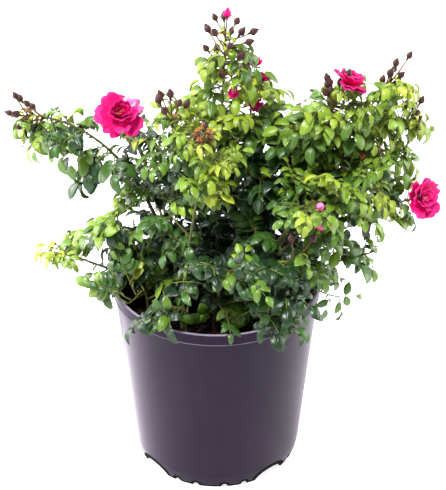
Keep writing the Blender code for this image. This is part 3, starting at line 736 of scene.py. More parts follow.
def spinUp(outline):
    # carries the selected ring, which is at the first point, on through the outline by extruding it
    for (radius, height), (nextRadius, nextHeight) in zip(outline, outline[1:]):
        bpy.ops.mesh.extrude_edges_move(TRANSFORM_OT_translate={"value": (0, 0, nextHeight - height)})
        factor = nextRadius / radius
        bpy.ops.transform.resize(value=(factor, factor, 1), center_override=(0, 0, nextHeight))


def radialCutter(halfWidth, height, azimuth):
    sides, depth = potShape["cutterSides"], potShape["cutterDepth"]
    bpy.ops.mesh.primitive_cylinder_add(vertices=sides, radius=1, depth=depth, rotation=(0, math.pi / 2, 0))
    cutter = bpy.context.object
    place = Matrix.Rotation(azimuth, 4, "Z") @ Matrix.Translation((potShape["foot"], 0, 0))
    cutter.data.transform(place @ Matrix.Diagonal((1, halfWidth, height, 1)) @ cutter.matrix_world)
    cutter.matrix_world = Matrix.Identity(4)
    return cutter


def cutFoot(pot):
    # a wide arch between each two feet, and four small bites in every foot
    s = potShape
    cutters = []
    for foot in range(s["feet"]):
        middle = math.radians(s["footTurn"] + foot * 90)
        cutters.append(radialCutter(s["notchHalf"], s["notchHeight"], middle + math.radians(45)))
        for turn in (-s["biteTurn"], -s["innerTurn"], s["innerTurn"], s["biteTurn"]):
            cutters.append(radialCutter(s["biteHalf"], s["biteHeight"], middle + math.radians(turn)))
    cutter = joined("potCutter", cutters)
    cut = pot.modifiers.new("notches", "BOOLEAN")
    cut.operation = "DIFFERENCE"
    cut.object = cutter
    cut.solver = "EXACT"
    applyModifiers(pot)
    bpy.data.objects.remove(cutter, do_unlink=True)


def makePot():
    outside, inside = potOutline()
    radius, height = outside[0]
    pot = startRing(potShape["sides"], radius, height)
    spinUp(outside)
    bpy.ops.mesh.edge_face_add()
    pick(pot, lambda co: math.hypot(co.x, co.y) > radius - 1e-5 and abs(co.z - height) < 1e-6)
    spinUp((outside[0], *inside))
    bpy.ops.mesh.edge_face_add()
    endShell()
    cutFoot(pot)
    pot.name = "nursery_pot"
    dress(pot, potFinish())
    smooth(pot, potShape["sharpFrom"])
    seat(pot, "pot", "pot")


# The potting mix, with crumbs and chips of bark on it

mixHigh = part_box("potting_mix")[1]
mixShape = {
    "top": mixHigh.z, "radius": mixHigh.x, "inset": 0.0006, "depth": 0.03, "taper": 0.004,
    "sides": 96, "rings": 26, "relief": ((0.012, 0.0035), (0.004, 0.00175)), "middle": 0.55, "sharpFrom": 60,
}
chipForm = {
    "count": 1500, "seed": 5, "shapes": 5, "margin": 0.008, "lift": 0.002, "tilt": 0.35, "size": 0.003,
    "sizeRange": 0.007, "width": (0.4, 0.7), "depth": (0.15, 0.35), "end": ((0.3, 0.8), (0.3, 0.9)),
    "endFrom": 0.3, "rough": 0.12,
}


def makeMix():
    s = mixShape
    radius, rings = s["radius"] - s["inset"], s["rings"]
    bed = startRing(s["sides"], radius, s["top"])
    spinUp([(radius * (1 - i / rings), s["top"]) for i in range(rings)])
    bpy.ops.mesh.edge_face_add()
    pick(bed, lambda co: math.hypot(co.x, co.y) > radius - 1e-5)
    spinUp([(radius, s["top"]), (radius - s["taper"], s["top"] - s["depth"])])
    bpy.ops.mesh.edge_face_add()
    endShell()
    group = bed.vertex_groups.new(name="bed")
    inner = [v for v in bed.data.vertices if math.hypot(v.co.x, v.co.y) < radius - 1e-4]
    group.add([v.index for v in inner if v.co.z > s["top"] - 1e-4], 1.0, "REPLACE")
    for grain, strength in s["relief"]:
        addRelief(bed, grain, strength, direction="Z", mid_level=s["middle"], vertex_group="bed")
    applyModifiers(bed)
    bed.name = "potting_mix_bed"
    dress(bed, mixFinish("pottingMix", (30, 20, 22), (44, 28, 26)))
    smooth(bed, s["sharpFrom"])
    seat(bed, "potting_mix", "potting_mix")


def chipShape(seed):
    rng = random.Random(seed)
    bpy.ops.mesh.primitive_cube_add(size=1)
    chip = bpy.context.object
    startEdit(chip)
    bpy.ops.transform.resize(value=(1, rng.uniform(*chipForm["width"]), rng.uniform(*chipForm["depth"])))
    pick(chip, lambda co: co.x > chipForm["endFrom"])
    bpy.ops.transform.resize(value=(1, *[rng.uniform(*span) for span in chipForm["end"]]))
    bpy.ops.mesh.select_all(action="SELECT")
    bpy.ops.transform.vertex_random(offset=chipForm["rough"], seed=seed)
    endEdit()
    return readShape(chip)


def makeChips():
    s = chipForm
    rng = random.Random(s["seed"])
    shapes = [chipShape(seed) for seed in range(1, s["shapes"] + 1)]
    copies = []
    for _ in range(s["count"]):
        distance = math.sqrt(rng.random()) * (mixShape["radius"] - s["margin"])
        turn = rng.uniform(0, 2 * math.pi)
        height = mixShape["top"] + rng.uniform(0, s["lift"])
        place = Vector((distance * math.cos(turn), distance * math.sin(turn), height))
        heading = Vector((rng.uniform(-1, 1), rng.uniform(-1, 1), rng.uniform(-s["tilt"], s["tilt"])))
        size = s["size"] + s["sizeRange"] * rng.random() ** 2
        copies.append((rng.choice(shapes), frameAt(place, heading, up, size), rng.random()))
    half = len(copies) // 2
    for name, rows, finish in (
        ("bark_chips", copies[:half], mixFinish("barkChip", (62, 40, 32), (34, 22, 20))),
        ("mix_crumbs", copies[half:], mixFinish("mixCrumb", (40, 26, 34), (22, 14, 18))),
    ):
        chips = joinCopies(name, rows, [finish])
        chips.data.polygons.foreach_set("use_smooth", [False] * len(chips.data.polygons))
        seat(chips, "potting_mix")


# The plan of the shoots, grown by the same rule as the solids

plan = {
    "greenCanes": ("front_dome",),
    "clearance": 0.0003, "crownRadius": 0.022, "crownHeight": 0.018,
    "caneFoot": 0.0028, "caneTip": 0.0017, "stemTip": 0.0010, "flare": 1.3, "sideShare": 0.8,
    "goldenTurn": math.radians(137.5), "sprayLength": 0.036, "spraySizes": (1.12, 0.68),
    "firstReach": 0.36, "footBow": 0.6, "lastSpread": 1.6, "lastDrop": 0.8, "dropFrom": 0.5,
    "sideStep": 0.006, "sideTries": 8, "rimRise": 0.070, "forkOpen": math.radians(50), "forkLength": 0.014,
    "wayPoints": 48, "wayRoom": 1.1, "wayGap": 0.0012, "firstGap": 0.75, "lastGap": 0.5,
    "sprayOpen": (0.9, 1.25), "turnRange": 0.25, "slopeReach": 0.01,
}
crownCentre = Vector((0, 0, 0.26))  # leaves face away from here
anyTurn = (0, 6.28)  # radians

# Each shoot: azimuth of its tip (0 is +X, -90 the front), its reach from the axis, its rise over the
# rim, how early it arches, its bare share, its sprays, what its tip carries, how young its leaves are,
# the leaves on each spray, and the single leaves between one spray and the next.
shoots = {
    "top_spire": (63, 0.022, 0.284, 0.05, 0.45, 6, "buds", 0.74, 6, 4),
    "spire_shoulder": (50, 0.064, 0.213, 0.2, 0.45, 5, "bloom", 0.56, 6, 2),
    "left_dome": (-147, 0.054, 0.212, 0.1, 0.38, 7, "buds", 0.75, 8, 2),
    "front_dome": (-101, 0.064, 0.202, 0.05, 0.34, 7, "buds", 0.7, 8, 2),
    "left_arm": (180, 0.198, 0.198, 0.75, 0.5, 6, "buds", 0.5, 4, 2),
    "left_bloom": (184, 0.099, 0.197, 0.3, 0.45, 3, "bloom", 0.36, 6, 2),
    "left_low": (180, 0.166, 0.032, 0.55, 0.3, 5, None, 0.66, 5, 2),
    "left_middle": (-171, 0.112, 0.076, 0.55, 0.3, 5, None, 0.44, 5, 2),
    "centre": (40, 0.058, 0.15, 0.15, 0.3, 5, None, 0.18, 7, 2),
    "right_inner": (14, 0.094, 0.18, 0.25, 0.3, 6, None, 0.36, 8, 3),
    "right_top_bloom": (2, 0.13, 0.221, 0.25, 0.5, 4, "bloom", 0.62, 7, 3),
    "right_spire": (11, 0.189, 0.222, 0.35, 0.5, 6, "buds", 0.68, 7, 3),
    "right_end": (5, 0.205, 0.184, 0.5, 0.45, 6, "buds", 0.72, 7, 3),
    "right_dome": (-17, 0.156, 0.146, 0.4, 0.35, 7, None, 0.56, 8, 3),
    "front_right_dome": (-38, 0.124, 0.14, 0.3, 0.3, 7, None, 0.52, 8, 2),
    "right_bloom": (0, 0.211, 0.098, 0.6, 0.4, 4, "bloom", 0.46, 6, 2),
    "right_low": (-6, 0.166, 0.04, 0.6, 0.3, 5, None, 0.28, 3, 0),
    "front_right": (-46, 0.124, 0.084, 0.4, 0.25, 6, "buds", 0.42, 6, 1),
    "front_low": (-80, 0.104, 0.076, 0.4, 0.25, 6, None, 0.36, 6, 1),
    "back_left": (131, 0.15, 0.122, 0.45, 0.35, 6, "buds", 0.3, 6, 2),
    "back": (98, 0.164, 0.082, 0.45, 0.35, 5, "bloom", 0.3, 7, 3),
    "back_right": (52, 0.162, 0.118, 0.45, 0.35, 6, None, 0.3, 7, 3),
    "right_back": (26, 0.184, 0.106, 0.45, 0.35, 5, "buds", 0.44, 7, 3),
    "back_left_low": (160, 0.12, 0.04, 0.6, 0.25, 5, None, 0.2, 4, 1),
    "back_low": (118, 0.152, 0.026, 0.6, 0.25, 5, None, 0.2, 5, 2),
    "back_right_low": (70, 0.158, 0.036, 0.6, 0.25, 5, None, 0.2, 5, 2),
    "left_rim": (-148, 0.112, 0.004, 0.6, 0.0, 4, None, 0.26, 3, 1),
    "front_left_rim": (-116, 0.108, 0.014, 0.6, 0.0, 4, None, 0.26, 2, 0),
    "front_rim": (-84, 0.11, 0.016, 0.6, 0.0, 4, None, 0.28, 1, 1),
    "front_right_rim": (-54, 0.122, 0.004, 0.7, 0.0, 4, None, 0.26, 2, 0),
    "right_rim": (-20, 0.14, 0.004, 0.7, 0.0, 3, None, 0.28, 1, 0),
}
# Where each starts: on the crown at an azimuth and a lift, in the mix at an azimuth and a distance,
# or at a share of another shoot's length.
starts = {
    "top_spire": ("crown", 85, 68), "spire_shoulder": ("crown", 40, 32), "left_dome": ("crown", -150, 32),
    "front_dome": ("mix", -124, 0.066), "left_arm": ("mix", 172, 0.050), "left_bloom": ("left_arm", 0.44),
    "left_low": ("mix", -166, 0.072), "left_middle": ("left_arm", 0.26), "centre": ("crown", -35, 68),
    "right_inner": ("centre", 0.28), "right_top_bloom": ("crown", -28, 32), "right_spire": ("crown", 9, 32),
    "right_end": ("mix", 2, 0.056), "right_dome": ("crown", -66, 32),
    "front_right_dome": ("mix", -46, 0.052), "right_bloom": ("right_end", 0.40),
    "right_low": ("mix", -8, 0.080), "front_right": ("mix", -60, 0.072), "front_low": ("mix", -92, 0.060),
    "back_left": ("crown", 152, 32), "back": ("crown", 112, 32), "back_right": ("crown", 76, 32),
    "right_back": ("mix", 32, 0.066), "back_left_low": ("mix", 158, 0.070), "back_low": ("mix", 120, 0.070),
    "back_right_low": ("mix", 72, 0.070), "left_rim": ("mix", -150, 0.086),
    "front_left_rim": ("mix", -112, 0.086), "front_rim": ("mix", -84, 0.088),
    "front_right_rim": ("mix", -52, 0.088), "right_rim": ("mix", -26, 0.088),
}
# How wide each bloom is, and where it faces: azimuth and height of its axis in degrees.
blooms = {
    "left_bloom": (0.049, -84, 50),
    "right_top_bloom": (0.045, 4, 58),
    "right_bloom": (0.046, -50, 22),
    "back": (0.044, 100, 50),
}


def onCircle(azimuth, radius, height):
    turn = math.radians(azimuth)
    return Vector((radius * math.cos(turn), radius * math.sin(turn), height))


def headingOf(azimuth, height):
    # both in degrees
    rise = math.radians(height)
    return onCircle(azimuth, math.cos(rise), math.sin(rise))


def acrossOf(axis, turn):
    # square to the axis, turned round it
    across = axis.orthogonal().normalized()
    across.rotate(Matrix.Rotation(turn, 3, axis))
    return across


def swung(along, across, turn):
    return along * math.cos(turn) + across * math.sin(turn)


def bezier(points, share):
    a, b, c, d = points
    rest = 1 - share
    return a * rest**3 + b * 3 * rest**2 * share + c * 3 * rest * share**2 + d * share**3


def slope(points, share):
    # the way that the curve runs there
    low, high = max(0, share - plan["slopeReach"]), min(1, share + plan["slopeReach"])
    return (bezier(points, high) - bezier(points, low)).normalized()


def tipOf(name):
    azimuth, reach, rise = shoots[name][:3]
    return onCircle(azimuth, reach, potShape["height"] + rise)


def caneRadius(name, share):
    bare = shoots[name][4]
    foot = plan["caneFoot"]
    if starts[name][0] in shoots or not bare:
        foot *= plan["sideShare"]
    return foot + (plan["caneTip"] - foot) * min(1, share / (bare or 1))


def shootFoot(name, curves):
    kind = starts[name][0]
    ground = mixShape["top"] + plan["clearance"]
    if kind == "mix":
        return onCircle(starts[name][1], starts[name][2], ground), up.copy()
    if kind == "crown":
        azimuth, lift = starts[name][1], math.radians(starts[name][2])
        height = ground + plan["crownHeight"] * math.sin(lift)
        surface = onCircle(azimuth, plan["crownRadius"] * math.cos(lift), height)
        across, rise = math.cos(lift) / plan["crownRadius"], math.sin(lift) / plan["crownHeight"]
        outward = onCircle(azimuth, across, rise).normalized()
        return surface + outward * plan["clearance"], outward
    parent, share, fork = curves[kind], starts[name][1], plan["forkOpen"]
    along = slope(parent, share)
    aside = tipOf(name) - bezier(parent, share)
    aside = (aside - along * aside.dot(along)).normalized()
    heading = swung(along, aside, fork)
    reach = caneRadius(kind, share) + plan["clearance"] + caneRadius(name, 0) * math.cos(fork)
    return bezier(parent, share) + heading * reach / math.sin(fork), heading


def shootCurve(name, curves, sideStep):
    arch = shoots[name][3]
    tip = tipOf(name)
    foot, heading = shootFoot(name, curves)
    flat = (tip - foot) * Vector((1, 1, 0))
    length = (tip - foot).length
    rise = length * plan["firstReach"] if shoots[name][4] else plan["rimRise"]
    side = flat.cross(up).normalized() * sideStep
    last = up * (1 - arch) * flat.length + flat * plan["lastSpread"] * arch
    last.z -= max(0, arch - plan["dropFrom"]) * plan["lastDrop"] * flat.length
    near = tip - last.normalized() * length * plan["firstReach"]
    return [foot, foot + heading * rise + side * plan["footBow"], near + side, tip]


def arc(start, heading, length, bow):
    # six points of a stalk that bows upwards, or sags where the bow is negative
    shares = [step / 5 for step in range(6)]
    return [start + heading * length * share + up * bow * length * share**2 for share in shares]


def pointOn(path, share):
    # a place on an arc, and the way it runs there
    step = min(4, int(share * 5))
    return path[step].lerp(path[step + 1], share * 5 - step), path[step + 1] - path[step]


def taper(radius, foot, drop):
    return [radius * (foot - drop * step / 5) for step in range(6)]


def leanFrom(curve, share, turn, opening):
    # a heading that leaves the curve there, turned round it and opened from it
    along = slope(curve, share)
    return swung(along, acrossOf(along, turn), opening).normalized()


def wayOf(name, curve):
    shares = [i / plan["wayPoints"] for i in range(plan["wayPoints"] + 1)]
    return [(bezier(curve, share), caneRadius(name, share)) for share in shares]


def isClear(way, taken, parent):
    foot = way[0][0]
    for owner, path in taken.items():
        free = plan["forkLength"] if owner == parent else 0
        for place, radius in way:
            if (place - foot).length < free:
                continue
            for other, otherRadius in path:
                if (place - other).length < (radius + otherRadius) * plan["wayRoom"] + plan["wayGap"]:
                    return False
    return True


def planShoots():
    curves, taken = {}, {}
    for name in shoots:
        for attempt in range(2 * plan["sideTries"]):
            curve = shootCurve(name, curves, plan["sideStep"] * ((attempt + 1) // 2) * (-1) ** attempt)
            way = wayOf(name, curve)
            if isClear(way, taken, starts[name][0]):
                break
        curves[name] = curve
        taken[name] = way
    return curves


# Templates that are copied many times: leaflets, petals, buds, sepals, prickles

bladeRule = {
    "weld": 2e-4, "phaseStep": 1.7, "acrossWave": 16, "alongWave": 11, "alongRuffle": 0.5,
    "endFrom": 0.8, "endReach": 0.2, "notchWidth": 0.07, "endCurve": 0.75,
}


def shapeBlade(mesh, settings):
    # halves rise from the midrib, a cup curves up, a ruffle waves the edge, and a notch splits the end
    rule = bladeRule
    fold = math.tan(math.radians(settings["fold"]))
    ruffle, phase = settings.get("ruffle", 0), settings.get("phase", 0)
    for vert in mesh.vertices:
        x, y = vert.co.x, vert.co.y
        vert.co.z += abs(y) * fold + y**2 * settings.get("cup", 0)
        edge = ruffle * rule["alongRuffle"] * abs(y) * math.sin(phase + rule["alongWave"] * x)
        vert.co.z += ruffle * x**2 * math.sin(phase + rule["acrossWave"] * y) + edge
        if settings.get("notch") and x > rule["endFrom"]:
            tipward = (x - rule["endFrom"]) / rule["endReach"]
            split = settings["notch"] * math.exp(-(y / rule["notchWidth"]) ** 2)
            vert.co.x -= tipward * (split + rule["endCurve"] * y**2)


def bladeShape(rows, columns, halfWidth, settings):
    # a thin blade from the origin along +X, its face up, with a second finish underneath
    bpy.ops.mesh.primitive_grid_add(x_subdivisions=rows, y_subdivisions=columns, size=1)
    blade = bpy.context.object
    blade.data.transform(Matrix.Translation((0.5, 0, 0)))
    startEdit(blade)
    for row in range(rows + 1):
        along = row / rows
        pick(blade, lambda co: abs(co.x - along) < 1e-4)
        wide = 2 * halfWidth(along, row) * settings.get("width", 1)
        bpy.ops.transform.resize(value=(1, max(wide, 1e-5), 1), center_override=(along, 0, 0))
    bpy.ops.mesh.select_all(action="SELECT")
    bpy.ops.mesh.remove_doubles(threshold=bladeRule["weld"])
    endEdit()
    shapeBlade(blade.data, settings)
    blade.data.transform(Matrix.Rotation(math.pi / 2, 4, "X"))
    for name, method, axis in (("curl", "BEND", "Z"), ("twist", "TWIST", "X")):
        bend = blade.modifiers.new(name, "SIMPLE_DEFORM")
        bend.deform_method = method
        bend.deform_axis = axis
        bend.angle = math.radians(settings[name])
    applyModifiers(blade)
    blade.data.transform(Matrix.Rotation(-math.pi / 2, 4, "X"))
    for _ in range(2):
        blade.data.materials.append(None)
    wall = blade.modifiers.new("wall", "SOLIDIFY")
    wall.thickness = settings["thickness"]
    wall.offset = -1
    wall.material_offset = 1
    wall.material_offset_rim = 1
    applyModifiers(blade)
    return readShape(blade)


leafletShape = {
    "grid": (8, 2), "widest": 0.45, "width": 0.54, "tooth": 0.035, "thickness": 0.014,
    "lowFullness": 0.66, "tipFullness": 0.78,
}
# each leaflet's look: fold, curl, twist, width
leafletForms = (
    (22, 48, 0, 1.0), (30, 66, 8, 0.92), (15, 36, -10, 1.05), (36, 88, 6, 0.80),
    (24, 58, -8, 0.95), (18, 74, 14, 0.86), (12, 24, 4, 1.08),
)
youngForms = ((34, 70, 10, 0.66), (42, 96, -12, 0.58), (26, 54, 6, 0.72), (38, 112, 4, 0.62))


def leafletWidth(along, row):
    # an oval that is widest below its middle and runs out to a point, with teeth along its edge
    widest = leafletShape["widest"]
    if along < widest:
        share = math.sin(math.pi / 2 * along / widest) ** leafletShape["lowFullness"]
    else:
        reach = math.cos(math.pi / 2 * (along - widest) / (1 - widest))
        share = reach ** leafletShape["tipFullness"]
    tooth = 1 + leafletShape["tooth"] * (1 if row % 2 else -1)
    return max(0, share) * leafletShape["width"] / 2 * tooth


petalShape = {
    "outer": (7, 6), "middle": (6, 6), "heart": (5, 4), "widest": 0.70, "base": 0.16, "thickness": 0.012,
    "claw": 0.95, "end": 0.36, "endLeast": 0.1,
}
# each petal's look: cup, curl, twist, width, ruffle, notch
petalForms = (
    (0.10, -16, 6, 0.86, 0.055, 0.07), (-0.15, 10, -8, 0.78, 0.065, 0.09),
    (0.25, -28, 4, 0.90, 0.045, 0.06), (0.05, 22, 12, 0.74, 0.075, 0.10),
)
middleForms = (
    (0.8, -34, 6, 0.74, 0.05, 0.07), (1.0, -50, -10, 0.66, 0.06, 0.08), (0.6, -20, 12, 0.70, 0.07, 0.09),
)
heartForms = ((1.9, -70, 8, 0.60, 0.04, 0.05), (2.4, -95, -8, 0.52, 0.05, 0.06))


def petalWidth(along, row):
    # narrow at its claw and broad near its end
    widest, base = petalShape["widest"], petalShape["base"]
    if along < widest:
        return 0.5 * (base + (1 - base) * math.sin(math.pi / 2 * along / widest) ** petalShape["claw"])
    return 0.5 * math.sqrt(max(petalShape["endLeast"], 1 - ((along - widest) / petalShape["end"]) ** 2))


sepalShape = {"grid": (5, 2), "width": 0.15, "taper": 0.75, "foot": 0.7, "least": 0.004, "thickness": 0.03}
# the pressed sepal of a bud and the one that is folded back under a flower
sepalForms = {"sepal": (18, -46, 0), "openSepal": (8, 70, 8)}


def sepalWidth(along, row):
    form = sepalShape
    return form["width"] * (1 - along) ** form["taper"] * (form["foot"] + along) + form["least"]


def bladeShapes(keys, forms, grid, halfWidth, thickness):
    made = []
    for index, form in enumerate(forms):
        settings = {"fold": 0, "phase": index * bladeRule["phaseStep"], "thickness": thickness}
        settings.update(zip(keys, form))
        made.append(bladeShape(*grid, halfWidth, settings))
    return made


def makeTemplates():
    shapes = {"bud": budShape(), "hip": hipShape(), "anther": antherShape(), "prickle": prickleShape()}
    keys, form = ("fold", "curl", "twist", "width"), leafletShape
    for name, forms in (("leaflet", leafletForms), ("young", youngForms)):
        shapes[name] = bladeShapes(keys, forms, form["grid"], leafletWidth, form["thickness"])
    keys, form = ("cup", "curl", "twist", "width", "ruffle", "notch"), petalShape
    for name, forms in (("outer", petalForms), ("middle", middleForms), ("heart", heartForms)):
        shapes[name] = bladeShapes(keys, forms, form[name], petalWidth, form["thickness"])
    keys, form = ("fold", "curl", "twist"), sepalShape
    for name, look in sepalForms.items():
        shapes[name] = bladeShapes(keys, [look], form["grid"], sepalWidth, form["thickness"])[0]
    return shapes


budForm = {
    "width": 0.31, "fullness": 1.18, "rib": 0.07, "ribs": 5, "belly": 0.78, "round": 0.9, "narrowing": 0.42,
    "segments": 10, "rings": 9,
}


def budShape():
    # an egg that runs out to a point, with the ribs of its five folded sepals, along +X
    form = budForm
    bpy.ops.mesh.primitive_uv_sphere_add(segments=form["segments"], ring_count=form["rings"], radius=1)
    bud = bpy.context.object
    for vert in bud.data.vertices:
        x, y, z = vert.co
        share = math.acos(max(-1, min(1, -z))) / math.pi
        belly = 0
        if 0 < share < 1:
            belly = math.sin(math.pi * share ** form["belly"]) ** form["round"]
            belly *= 1 - form["narrowing"] * share**2
        rib = 1 + form["rib"] * math.cos(form["ribs"] * math.atan2(y, x))
        reach = math.hypot(x, y)
        side = belly * form["width"] * form["fullness"] * rib / reach if reach > 1e-6 else 0
        vert.co = (share, x * side, y * side)
    return readShape(bud)


hipForm = {"width": 0.36, "flare": 0.10, "segments": 8, "rings": 6}


def hipShape():
    # the small green urn under a bud or bloom, along +X
    form = hipForm
    bpy.ops.mesh.primitive_uv_sphere_add(segments=form["segments"], ring_count=form["rings"], radius=1)
    hip = bpy.context.object
    for vert in hip.data.vertices:
        x, y, z = vert.co
        width = form["width"] + form["flare"] * z
        vert.co = (0.5 + 0.5 * z, x * width, y * width)
    return readShape(hip)


antherForm = {"stalk": 0.035, "length": 0.8, "pod": 0.11, "podAt": 0.88, "podStretch": 1.7}


def antherShape():
    # a stamen: a thin stalk along +X with a small pod at its end
    form = antherForm
    bpy.ops.mesh.primitive_cylinder_add(
        vertices=4, radius=form["stalk"], depth=form["length"], location=(form["length"] / 2, 0, 0),
        rotation=(0, math.pi / 2, 0),
    )
    stalk = bpy.context.object
    applyPlace(stalk)
    podAt = (form["podAt"], 0, 0)
    bpy.ops.mesh.primitive_uv_sphere_add(segments=6, ring_count=4, radius=form["pod"], location=podAt)
    pod = bpy.context.object
    bpy.ops.transform.resize(value=(1, form["podStretch"], 1), center_override=podAt)
    applyPlace(pod)
    return readShape(joined("anther", [stalk, pod]))


prickleForm = {"foot": 0.38, "point": 0.02, "sides": 5, "hook": 0.45}


def prickleShape():
    # a hooked thorn along +X
    foot, point = prickleForm["foot"], prickleForm["point"]
    bpy.ops.mesh.primitive_cone_add(vertices=prickleForm["sides"], radius1=foot, radius2=point, depth=1)
    prickle = bpy.context.object
    prickle.data.transform(Matrix.Rotation(math.pi / 2, 4, "Y") @ Matrix.Translation((0, 0, 0.5)))
    startEdit(prickle)
    pick(prickle, lambda co: co.x > 0.5)
    bpy.ops.transform.translate(value=(0, 0, -prickleForm["hook"]))
    endEdit()
    return readShape(prickle)


# Growing the plant

# One leaf: its rachis, its leaflets and what each may vary by. Angles are in degrees.
leafRule = {
    "rachis": 0.035, "rachisRange": (0.80, 1.1), "leaflet": 0.0212, "leafletRange": (0.80, 1.10),
    "leafletFirst": 0.84, "leafletGrowth": 0.22, "firstPair": 0.36, "lastPair": 0.90, "pairs": (2, 2, 3),
    "openBy": 60, "openRange": (-14, 12), "tries": 12, "droop": (-0.26, 0.22), "sag": 0.20, "upward": 0.90,
    "outward": 0.75, "faceRange": 0.50, "toFront": 0.80, "threeUnder": 0.92, "short": 0.60,
    "hang": (-0.10, 0.26), "youngHang": (0.0, 0.50), "youngFrom": 0.72, "youngShare": 0.75,
    "tiltRange": (-0.15, 0.45), "tiltUp": 0.2, "standOff": 0.0006, "tintRange": 0.14, "shade": 0.6,
    "shadeRange": 0.4, "radius": 0.00050, "taper": (1.3, 0.6), "reachOver": 0.001,
    # spots of a leaflet that have to be free, in its own lengths
    "tests": ((0.5, 0), (0.95, 0), (0.45, -0.26), (0.45, 0.26)),
}
# One spray: a twig with leaves at these turns and shares of its length, the first at its end.
sprayRule = {
    "places": (
        (0, 1.0), (62, 0.55), (-62, 0.62), (-75, 0.28), (70, 0.84), (-48, 0.90), (85, 0.40), (-22, 0.74),
    ),
    "lift": 0.16, "aimRange": 14, "ageing": 0.15, "ageMiddle": 0.6, "radius": 0.0011, "taper": (1, 0.45),
}
# How the leaves change along a shoot, and its single and low leaves. Turns are in radians.
shootRule = {
    "ageing": 1.05, "ageFrom": 0.80, "shrink": 0.22, "shrinkFrom": 0.5, "singleTurn": 2.2, "singleStep": 2.4,
    "singleOpen": 0.1, "lowLeaves": 4, "lowFrom": 0.30, "lowSpan": 0.68, "lowSize": 0.95, "lowYouth": 0.35,
}
# One cane or stem, swollen at its joints, with its prickles.
limbRule = {
    "step": 0.003, "fewest": 12, "slim": 0.6, "joints": 11, "jointFrom": 0.75, "jointRise": 0.16,
    "sunk": 0.002, "prickles": 0.30, "prickleSpan": (0.04, 0.92), "prickleSeat": 0.8,
    "prickleSize": (0.0018, 0.0038),
}
# Where the crown stands open to the sky, as seen from the front in the upright plane through its axis:
# x and height of the middle, half width and half height. No leaf or twig hangs in front of these.
openSpaces = (
    (-0.178, 0.32, 0.015, 0.048), (-0.157, 0.309, 0.01, 0.014), (-0.123, 0.327, 0.008, 0.015),
    (-0.129, 0.398, 0.007, 0.012), (-0.177, 0.193, 0.029, 0.035), (-0.129, 0.157, 0.017, 0.023),
    (-0.139, 0.249, 0.009, 0.009), (0.21, 0.186, 0.039, 0.043), (0.183, 0.13, 0.032, 0.039),
    (0.148, 0.121, 0.025, 0.021), (0.208, 0.266, 0.026, 0.015), (0.227, 0.372, 0.013, 0.017),
    (0.075, 0.49, 0.018, 0.033), (0.052, 0.506, 0.009, 0.022), (-0.036, 0.492, 0.011, 0.03),
    (-0.174, 0.468, 0.049, 0.027), (0.163, 0.482, 0.012, 0.018), (0.232, 0.433, 0.009, 0.025),
    (0.052, 0.389, 0.007, 0.005), (-0.083, 0.379, 0.007, 0.006), (-0.109, 0.36, 0.002, 0.005),
    (-0.076, 0.318, 0.006, 0.007), (-0.095, 0.302, 0.005, 0.005), (-0.097, 0.291, 0.005, 0.004),
    (-0.106, 0.286, 0.004, 0.004), (-0.061, 0.307, 0.004, 0.004), (-0.042, 0.301, 0.006, 0.003),
    (-0.077, 0.279, 0.007, 0.004), (0.154, 0.28, 0.007, 0.009), (-0.109, 0.394, 0.01, 0.006),
    (-0.122, 0.437, 0.008, 0.006), (0.165, 0.168, 0.005, 0.014), (0.142, 0.23, 0.007, 0.007),
    (0.128, 0.143, 0.009, 0.011), (-0.134, 0.162, 0.014, 0.016), (-0.149, 0.436, 0.009, 0.006),
    (-0.182, 0.227, 0.022, 0.011), (-0.111, 0.18, 0.009, 0.012), (-0.107, 0.169, 0.009, 0.011),
    (-0.062, 0.471, 0.025, 0.014), (0.196, 0.242, 0.016, 0.026), (0.073, 0.456, 0.008, 0.006),
    (0.033, 0.429, 0.004, 0.005), (0.075, 0.427, 0.005, 0.005), (-0.115, 0.318, 0.004, 0.007),
    (-0.033, 0.45, 0.003, 0.006), (0.158, 0.458, 0.006, 0.008), (0.175, 0.47, 0.008, 0.003),
    (0.172, 0.21, 0.006, 0.008), (0.121, 0.2, 0.005, 0.006),
)
# Hollows between the masses, in the same terms: no leaf hangs there nearer the front than the last value.
hollows = (
    (-0.002, 0.286, 0.017, 0.028, -0.02), (0.078, 0.27, 0.014, 0.014, -0.03),
    (-0.042, 0.29, 0.008, 0.05, -0.068), (-0.078, 0.212, 0.024, 0.02, -0.06),
    (0.008, 0.187, 0.034, 0.012, -0.086), (0.045, 0.33, 0.016, 0.014, -0.03),
    (0.225, 0.322, 0.016, 0.022, 0.004), (0.134, 0.46, 0.015, 0.012, 0.02),
    (-0.098, 0.425, 0.024, 0.024, 0.02), (-0.06, 0.345, 0.012, 0.014, -0.06),
    (0.11, 0.33, 0.014, 0.012, -0.06),
)
